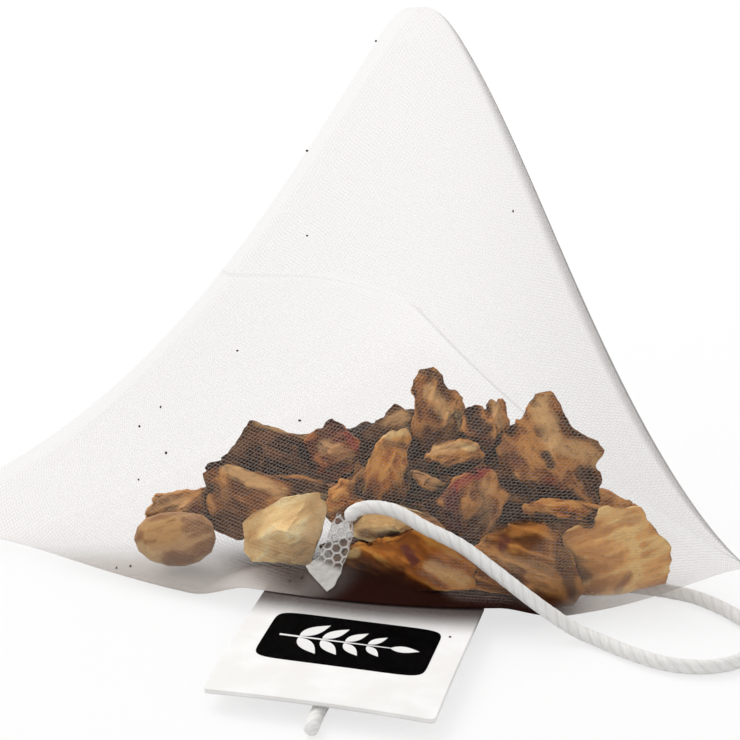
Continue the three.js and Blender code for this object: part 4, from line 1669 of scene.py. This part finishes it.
@dataclass
class FruitHeap:
    """Dried fruit pieces and a nut that lie in the bag, each where its node is."""

    view: PhotoView
    bag: MeshBag
    film: Any
    shown_grid: tuple[int, int] = (84, 112)
    unseen_grid: tuple[int, int] = (48, 80)
    facets: int = 6
    dice_edges: int = 6
    hidden_seed: int = 50
    hidden_grain: float = 30.0
    spread_out: float = 1.12
    film_clear: float = 0.22 * MM
    settle: float = 0.8 * MM
    shade_step: float = 0.5 * MM
    shade_off: float = 1.0 * MM
    looks: dict[Fruit, Any] = field(default_factory=dict)

    def build(self) -> list[Any]:
        """Makes every piece, presses it inside the film, dresses it and paints shade into the gaps between
        the pieces.

        Returns:
            The pieces.
        """
        flesh = dried_flesh()
        self.looks = {kind: kind.value.build(kind.name.lower() + "_flesh", flesh) for kind in Fruit}
        room = self.film_room()
        pieces = [self.shown(fruit, number, room) for number, fruit in enumerate(SHOWN_FRUIT)]
        hidden = sorted(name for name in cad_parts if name.rsplit("_", 1)[0] in HIDDEN_FRUIT)
        pieces += [self.unseen(name, self.hidden_seed + number, room) for number, name in enumerate(hidden)]
        bpy.data.objects.remove(room)
        self.shade(pieces)
        return pieces

    def film_room(self) -> Any:
        """Closed surface just inside the film, which keeps the fruit in the bag.

        Returns:
            The surface.
        """
        points = self.bag.surface(inset=self.film_clear)[:, :-1]
        faces = grid_faces(points.shape[0], points.shape[1], wrap=True)
        return new_object("film_room", points, faces.tolist())

    def shown(self, fruit: FruitPiece, seed: int, film: Any) -> Any:
        """Piece that shows: its outline in the photograph carried through the depth of its node.

        Args:
            fruit: The piece.
            seed: Number that picks its facets and wrinkles.
            film: Surface that it stays inside.

        Returns:
            The piece.
        """
        depth = self.view.depth(mesh_points(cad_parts[fruit.node].data))
        corners = np.array(fruit.outline + fruit.outline[:1])
        way = np.concatenate([[0], np.cumsum(np.linalg.norm(np.diff(corners, axis=0), axis=1))])
        even = np.linspace(0, way[-1], self.shown_grid[1] + 1)[:-1]
        outline = np.stack([np.interp(even, way, corners[:, axis]) for axis in (0, 1)], axis=-1)
        thick = depth.max() - depth.min()
        rim = self.view.place(outline[::-1], depth.min() + fruit.rim * thick)
        halves = (thick * (1 - fruit.rim), thick * fruit.rim)
        sides = (np.array([1.0, 0, 0]), self.view.up, -self.view.forward)
        piece = self.lump(fruit.node, fruit.kind, rim, halves, sides, seed, film, fruit.marks, fruit.grain)
        return stays_put(piece, fruit.slot or fruit.kind.value.slot, fruit.node)

    def unseen(self, node: str, seed: int, film: Any) -> Any:
        """Piece under or behind the others: an uneven six-sided dice where its node is, on what bears it.

        Its rim is the nearest of six edges that a ray from its middle meets, each at its own distance.

        Args:
            node: Node that it stands for.
            seed: Number that picks its facets and wrinkles.
            film: Surface that it stays inside.

        Returns:
            The piece.
        """
        kind, kept = HIDDEN_FRUIT[node.rsplit("_", 1)[0]]
        low, high = (np.array(corner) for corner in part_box(node))
        high[2] = low[2] + kept * (high[2] - low[2])
        low[2] = min(low[2], max(low[2] - self.settle, self.film_clear))
        turn = np.linspace(0, 2 * np.pi, self.unseen_grid[1] + 1)[:-1]
        reach = np.stack([np.cos(turn), np.sin(turn), 0 * turn], axis=-1)
        pick = np.random.default_rng(seed)
        edges = self.dice_edges
        edge_turn = 2 * np.pi * (np.arange(edges) + pick.uniform(0, 0.7, edges)) / edges
        facing = np.maximum(np.cos(turn[:, None] - edge_turn), 0.2)
        radius = np.minimum((pick.uniform(0.78, 1.0, edges) / facing).min(axis=1), 1.25)
        half_size = (high - low) / 2 * np.array([self.spread_out, 1.0, 1.0])
        rim = (low + high) / 2 + reach * radius[:, None] * half_size
        sides = tuple(np.eye(3))
        half = (high[2] - low[2]) / 2
        piece = self.lump(node, kind, rim, (half, half), sides, seed, film, (), self.hidden_grain)
        return stays_put(piece, kind.value.slot, node)

    def lump(self, node: str, kind: Fruit, rim: np.ndarray, halves: tuple[float, float],
             sides: tuple[np.ndarray, ...], seed: int, film: Any, marks: Sequence[Mark], grain: float) -> Any:
        """Lump of fruit between a front and a back face, with facets, folds and fibres.

        Rings of the rim are drawn in by a power of the cosine of the way over the lump, evenly spaced along
        that profile. Facets are tilted planes that limit its height. Ridged noise, long along the fibres,
        raises folds along the normals, and finer noise raises fibres and grain.

        Args:
            node: Node that it stands for.
            kind: Kind of fruit.
            rim: Outline half way through, shape (columns, 3).
            halves: Its thickness behind and before the rim.
            sides: Unit vectors to its right, up and to its front.
            seed: Number that picks the pattern.
            film: Surface that it stays inside.
            marks: Bands of colour.
            grain: Slant of its fibres from its right, in degrees.

        Returns:
            The piece.
        """
        look = kind.value
        pick = np.random.default_rng(seed)
        right, up, front = sides
        rows = self.shown_grid[0] if marks else self.unseen_grid[0]
        centre = rim.mean(axis=0)
        reach = rim - centre
        span = np.linalg.norm(reach, axis=1).mean()
        turn = np.linspace(-np.pi / 2, np.pi / 2, 2001)
        draw = np.abs(np.cos(turn)) ** look.blunt
        lift = np.sign(turn) * np.abs(np.sin(turn)) ** look.blunt
        half = sum(halves) / 2
        lift = lift * np.where(turn < 0, *halves)
        way = np.concatenate([[0], np.cumsum(np.hypot(np.diff(draw) * span, np.diff(lift)))])
        even = np.linspace(0, way[-1], rows + 2)[1:-1]
        draw, lift = (np.interp(even, way, part) for part in (draw, lift))
        torn = 1 + 0.8 * look.fold * MM / span * cloud(rim / (0.8 * MM), seed + 7, 3)
        side = draw[:, None, None] * (reach * torn[:, None])[None]
        rise = lift[:, None] * np.ones(len(rim))
        if look.blunt < 1:
            for number in range(2 * self.facets):
                facing = np.pi * (number + pick.uniform(0, 0.8)) / self.facets
                slope = pick.uniform(0.3, 1.0) * (side @ (np.cos(facing) * right + np.sin(facing) * up))
                limit = pick.uniform(0.62, 0.97) - slope / half
                behind, before = (np.maximum(limit, -0.2) * reach_to for reach_to in halves)
                rise = np.minimum(rise, before) if number % 2 else np.maximum(rise, -behind - 0.4 * halves[0])
        points = centre + side + rise[..., None] * front
        wrapped = np.concatenate([points[:, -1:], points, points[:, :1]], axis=1)
        normal = surface_normals(wrapped)[:, 1:-1]
        normal = normal * np.sign(((points - centre) * normal).sum())
        slant = np.radians(grain)
        along = np.cos(slant) * right + np.sin(slant) * up
        place = (points - centre) @ np.stack([along, np.cross(front, along), front], axis=1) / MM
        fold = cloud(place / np.array([5.0, 1.5, 1.5]) + 3.1 * seed, seed, 3, ridged=True)
        fibre = cloud(place / np.array([2.6, 0.42, 0.42]), seed + 3, 3)
        grit = cloud(place / 0.3, seed + 5, 2)
        relief = look.fold * (fold - 0.7) + look.fibre * (fibre + 0.3 * grit)
        points = points + normal * relief[..., None] * MM
        piece = closed_ball(node + "_dried", points, points[0].mean(axis=0), points[-1].mean(axis=0))
        self.press_in(piece, film)
        ends = [place[0].mean(axis=0), place[-1].mean(axis=0)]
        stretched = np.concatenate([place.reshape(-1, 3), ends]) * np.array([0.22, 1, 1]) + 2.7 * seed
        add_attribute(piece, "fibre_place", stretched)
        # Painted light and shade from the folds: 1 on their ridges, 0 in their valleys.
        add_attribute(piece, "ridge_light_valley_shade", np.concatenate([smoothstep(fold, 0.0, 1.25).ravel(), [0.5, 0.5]]))
        add_attribute(piece, "mark", self.painted(mesh_points(piece.data), marks))
        piece.data.materials.append(self.looks[kind])
        return piece

    def press_in(self, piece: Any, film: Any) -> None:
        """Pushes the vertices of a piece that lie outside the film's inner surface onto it.

        Args:
            piece: The piece.
            film: Surface that it stays inside.
        """
        press = piece.modifiers.new("press", "SHRINKWRAP")
        press.target = film
        press.wrap_method = "NEAREST_SURFACEPOINT"
        press.wrap_mode = "INSIDE"
        ready = piece.evaluated_get(bpy.context.evaluated_depsgraph_get())
        pressed = bpy.data.meshes.new_from_object(ready)
        piece.modifiers.clear()
        piece.data = pressed

    def shade(self, pieces: Sequence[Any]) -> None:
        """Gives fruit painted shade from how full the heap is just off it, and film a value where fruit
        presses.

        Every piece, and smaller copies of it, fills the cells of a box grid, three passes of a three-cell
        mean blur it, and the grid is read a short way out along the normal, blended between eight cells.

        Args:
            pieces: All pieces of the heap.
        """
        step = self.shade_step
        parts = [mesh_points(piece.data) for piece in pieces]
        low = np.min([part.min(axis=0) for part in parts], axis=0) - 5 * step
        high = np.max([part.max(axis=0) for part in parts], axis=0) + 6 * step
        filled = np.zeros(np.ceil((high - low) / step).astype(int) + 1)
        for part in parts:
            middle = part.mean(axis=0)
            for size in (1.0, 0.85, 0.7, 0.5, 0.3):
                cell = ((middle + size * (part - middle) - low) / step + 0.5).astype(int)
                filled[tuple(cell.T)] = 1
        for axis in (0, 1, 2) * 3:
            filled = (np.roll(filled, 1, axis) + filled + np.roll(filled, -1, axis)) / 3
        for piece, part in zip(pieces, parts):
            normal = np.zeros(len(part) * 3)
            piece.data.vertex_normals.foreach_get("vector", normal)
            deep = self.read_cells(filled, (part + normal.reshape(-1, 3) * self.shade_off - low) / step)
            # Painted shade: darker where the heap is fuller just off the piece.
            add_attribute(piece, "gap_shade", smoothstep(deep, 0.22, 0.72))
        touch = self.read_cells(filled, (mesh_points(self.film.data) - low) / step)
        add_attribute(self.film, "pressed", smoothstep(touch, 0.16, 0.36))

    def read_cells(self, cells: np.ndarray, place: np.ndarray) -> np.ndarray:
        """Values of a grid of cells at places in it, blended between the eight cells round each place.

        Args:
            cells: Grid of values.
            place: Places in cell units, shape (places, 3). One outside the grid reads its border.

        Returns:
            Values, shape (places,).
        """
        place = np.clip(place, 0, np.array(cells.shape) - 1.001)
        base = np.floor(place).astype(int)
        total = np.zeros(len(place))
        for corner in np.ndindex(2, 2, 2):
            share = np.where(np.array(corner) == 1, place - base, 1 - place + base).prod(axis=-1)
            total += share * cells[tuple((base + np.array(corner)).T)]
        return total

    def painted(self, points: np.ndarray, marks: Sequence[Mark]) -> np.ndarray:
        """Colour and cover of the marks at each vertex: full along each line, fading over its ragged edge.

        Args:
            points: Vertices, shape (vertices, 3).
            marks: Bands of colour.

        Returns:
            Colours with the cover as alpha, shape (vertices, 4).
        """
        shown = self.view.pixels(points)
        ragged = cloud(points / (0.9 * MM), 31, 3)
        colour = np.zeros((len(points), 4))
        for mark in marks:
            start, end = np.array(mark.start, float), np.array(mark.end, float)
            way = end - start
            share = np.clip((shown - start) @ way / max(way @ way, 1e-9), 0, 1)
            off = np.linalg.norm(shown - start - share[:, None] * way, axis=1) / mark.width + 0.35 * ragged
            cover = mark.strength * (1 - smoothstep(off, 0.45, 1.25))
            keep = colour[:, 3] * (1 - cover)
            total = np.maximum(cover + keep, 1e-6)
            tone = np.array(mark.tone.value[:3])
            colour[:, :3] = (colour[:, :3] * keep[:, None] + tone * cover[:, None]) / total[:, None]
            colour[:, 3] = keep + cover
        return np.clip(colour, 0, 1)


# Weld and specks


@dataclass(frozen=True)
class WeldFinish:
    """Clear plastic cells with whitish walls and a milky flap."""

    clear: Colour = srgb(150, 138, 130)
    milky: Colour = srgb(214, 209, 204)
    wall_cover: float = 0.44
    flap_cover: float = 0.62
    streak_cover: tuple[float, float] = (0.12, 0.3)
    roughness: float = 0.3

    def build(self) -> Any:
        """Makes the material.

        Returns:
            The material.
        """
        material, shader, surface = new_material("welded_film")
        rim, flap = (shader.attribute(name) for name in ("rim", "flap"))
        streak = shader.noise(shader.object_place(), 1500.0, 3.0)
        walls = shader.math("MULTIPLY", rim, self.wall_cover)
        solid = shader.math("MAXIMUM", walls, shader.math("MULTIPLY", flap, self.flap_cover))
        cover = shader.math("ADD", solid, shader.spread(streak, 0.3, 0.8, *self.streak_cover), clamp=True)
        tone = shader.mix(shader.math("MAXIMUM", rim, flap), self.clear, self.milky)
        shader.feed(surface, {"Base Color": tone, "Alpha": cover, "Roughness": self.roughness})
        return material


@dataclass
class StringWeld:
    """Clear patch that holds the string on the film: a pressed honeycomb with a whitish flap at its foot."""

    view: PhotoView
    bag: MeshBag
    top: Pixel = (345.0, 516.0)
    foot: Pixel = (317.0, 581.0)
    half_width: float = 12.5
    flap_from: float = 0.72
    cell: float = 9.6
    relief: float = 0.14 * MM
    lift: float = 0.1 * MM
    sheet: float = 0.06 * MM
    rows: int = 110
    columns: int = 44

    def film_depth(self, pixels: np.ndarray) -> np.ndarray:
        """Depth of the front film at pixels: a least-squares cubic through the film near the patch.

        Args:
            pixels: Pixels, shape (..., 2).

        Returns:
            Depths in metres, shape (...).
        """
        angle, share = np.meshgrid(np.linspace(1.9, 2.32, 50), np.linspace(0.37, 0.49, 50))
        film = self.bag.points(angle, share)
        shown, depth = self.view.pixels(film), self.view.depth(film)
        middle = (np.array(self.top) + np.array(self.foot)) / 2

        def terms(place: np.ndarray) -> np.ndarray:
            """Powers of both picture directions, up to the third together."""
            x, y = np.moveaxis((place - middle) / 40, -1, 0)
            return np.stack([x**i * y**j for i in range(4) for j in range(4 - i)], axis=-1)

        near = np.abs(shown - middle).max(axis=-1) < 60
        fit = np.linalg.lstsq(terms(shown[near]), depth[near], rcond=None)[0]
        return terms(pixels) @ fit

    def build(self) -> Any:
        """Makes the patch: a strip in the picture from its top to its foot, laid on the film's front.

        Returns:
            The patch.
        """
        steps = (np.linspace(0, 1, self.rows), np.linspace(1, -1, self.columns))
        way, across = np.meshgrid(*steps, indexing="ij")
        line = np.array(self.foot) - np.array(self.top)
        length = np.linalg.norm(line)
        along = line / length
        aside = np.array([along[1], -along[0]])
        flap = smoothstep(way, self.flap_from - 0.06, self.flap_from + 0.06)
        ragged = value_noise(np.stack([way * 9, np.sign(across), 0 * way], axis=-1), 11)
        half = self.half_width * (0.62 + 0.38 * smoothstep(way, 0.0, 0.2) + 0.25 * flap + 0.1 * ragged)
        half = half * (1 - 0.35 * smoothstep(way, 0.9, 1.0))
        bend = 5 * np.sin(np.pi * way)
        pixels = np.array(self.top) + (way * length)[..., None] * along
        pixels = pixels + (across * half + bend)[..., None] * aside
        pixels[..., 1] += 7 * flap * smoothstep(way, 0.8, 1.0) * across * aside[0]
        rim = self.honeycomb(np.stack([across * half, way * length], axis=-1) / self.cell)
        crumple = cloud(np.stack([across * 3, way * 9, 0 * way], axis=-1), 4, 3)
        raised = (1 - flap) * rim + flap * (0.35 + 0.3 * crumple)
        depth = self.film_depth(pixels) - self.lift - self.relief * raised
        faces = grid_faces(self.rows, self.columns, wrap=False).tolist()
        piece = new_object("weld_patch", self.view.place(pixels, depth), faces)
        border = smoothstep(np.abs(across), 0.86, 1.0)
        add_attribute(piece, "rim", np.maximum(rim, border).ravel())
        add_attribute(piece, "flap", flap.ravel())
        sheet = piece.modifiers.new("sheet", "SOLIDIFY")
        sheet.thickness = self.sheet
        sheet.offset = -1.0
        piece.data.materials.append(WeldFinish().build())
        return stays_put(piece, "weld", "string_weld")

    def honeycomb(self, place: np.ndarray) -> np.ndarray:
        """Walls of a honeycomb: 1 on the border of each hexagon, 0 inside it.

        Each place is measured from the nearer of two staggered lattices of cell middles, and its wall is
        where the largest of its three distances across the hexagon comes near half the pitch.

        Args:
            place: Places in units of the pitch, shape (..., 2).

        Returns:
            Wall values, shape (...).
        """
        size = np.array([1.0, np.sqrt(3.0)])
        offsets = [np.mod(place + shift, size) - size / 2 for shift in (0 * size, size / 2)]
        nearer = (offsets[0] ** 2).sum(axis=-1) < (offsets[1] ** 2).sum(axis=-1)
        x, y = np.moveaxis(np.abs(np.where(nearer[..., None], offsets[0], offsets[1])), -1, 0)
        return smoothstep(np.maximum(x, x / 2 + y * np.sqrt(3.0) / 2), 0.3, 0.46)


@dataclass(frozen=True)
class DustFinish:
    """Dark fruit dust."""

    dark: Colour = srgb(40, 30, 26)
    light: Colour = srgb(84, 62, 48)
    grain: float = 3000.0
    roughness: float = 0.8

    def build(self) -> Any:
        """Makes the material.

        Returns:
            The material.
        """
        material, shader, surface = new_material("fruit_dust")
        tone = shader.mix(shader.noise(shader.object_place(), self.grain, 2.0), self.dark, self.light)
        shader.feed(surface, {"Base Color": tone, "Roughness": self.roughness})
        return material


@dataclass
class FilmSpecks:
    """Specks of fruit dust on the film and the card, where the photograph shows them."""

    view: PhotoView
    bag: MeshBag
    tag: CardTag
    radius: float = 0.12 * MM
    rows: int = 6
    columns: int = 10
    seed: int = 8
    near_weight: float = 4e6
    card_places: tuple[Pixel, ...] = ((450, 637),)
    film_places: tuple[Pixel, ...] = (
        (373, 38), (304, 152), (307, 231), (236, 350), (162, 402), (136, 427), (166, 452), (136, 480),
        (115, 567), (128, 569), (293, 580), (299, 579), (302, 578), (513, 210), (301, 415),
    )

    def spots(self) -> list[np.ndarray]:
        """Where the specks lie.

        On the film that is the point with the least sum of its squared distance in the picture and its
        weighted squared depth, and on the card the point where the line of sight meets its top.

        Returns:
            Points in metres.
        """
        film = self.bag.surface().reshape(-1, 3)
        shown, depth = self.view.pixels(film), self.view.depth(film)
        behind = self.near_weight * (depth - depth.min()) ** 2
        spots = []
        for place in self.film_places:
            off = ((shown - np.array(place)) ** 2).sum(axis=-1)
            spots.append(film[(off + behind).argmin()])
        rays = self.view.place(np.array(self.card_places), 1.0) - self.view.eye
        fall = (self.tag.low[2] + self.tag.thickness - self.view.eye[2]) / rays[:, 2]
        return spots + list(self.view.eye + rays * fall[:, None])

    def build(self) -> Any:
        """Makes all specks as one piece of little uneven balls.

        Returns:
            The specks.
        """
        turn = np.linspace(0, 2 * np.pi, self.columns + 1)[:-1]
        rise = np.linspace(-np.pi / 2, np.pi / 2, self.rows + 2)[1:-1, None]
        level = [np.cos(rise) * np.cos(turn), np.cos(rise) * np.sin(turn)]
        ball = np.stack([*level, np.sin(rise) + 0 * turn], axis=-1)
        ball = np.concatenate([ball.reshape(-1, 3), [[0, 0, -1], [0, 0, 1]]])
        one = ball_faces(self.rows, self.columns)
        pick = np.random.default_rng(self.seed)
        points: list[np.ndarray] = []
        faces: list[list[int]] = []
        for spot in self.spots():
            faces += [[corner + len(ball) * len(points) for corner in face] for face in one]
            points.append(spot + ball * self.radius * pick.uniform(0.6, 1.2, size=3))
        piece = new_object("film_specks", np.concatenate(points), faces)
        piece.data.materials.append(DustFinish().build())
        return stays_put(piece, "dark_fruit")


def main() -> None:
    """Builds the tea bag piece by piece."""
    logging.basicConfig(level=logging.INFO, format="%(name)s: %(message)s")
    tag_low, tag_high = (np.array(corner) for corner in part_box("tag"))
    tag_centre_mm = np.array([0.0, -39.0])
    shift = np.append((tag_low + tag_high)[:2] / 2 - tag_centre_mm * MM, 0.0)
    view = PhotoView(eye=np.array([1.65, -190.47, 86.15]) * MM + shift)
    view.build()
    Studio().build()
    tag = CardTag(view)
    string = CottonString(shift)
    tag_pieces = tag.build()
    string.build(tag_pieces)
    bag = MeshBag(shift, tag, string)
    film = bag.build()
    tag.shade(tag_pieces[0], mesh_points(film.data))
    FruitHeap(view, bag, film).build()
    StringWeld(view, bag).build()
    FilmSpecks(view, bag, tag).build()


if __name__ == "__main__":
    main()
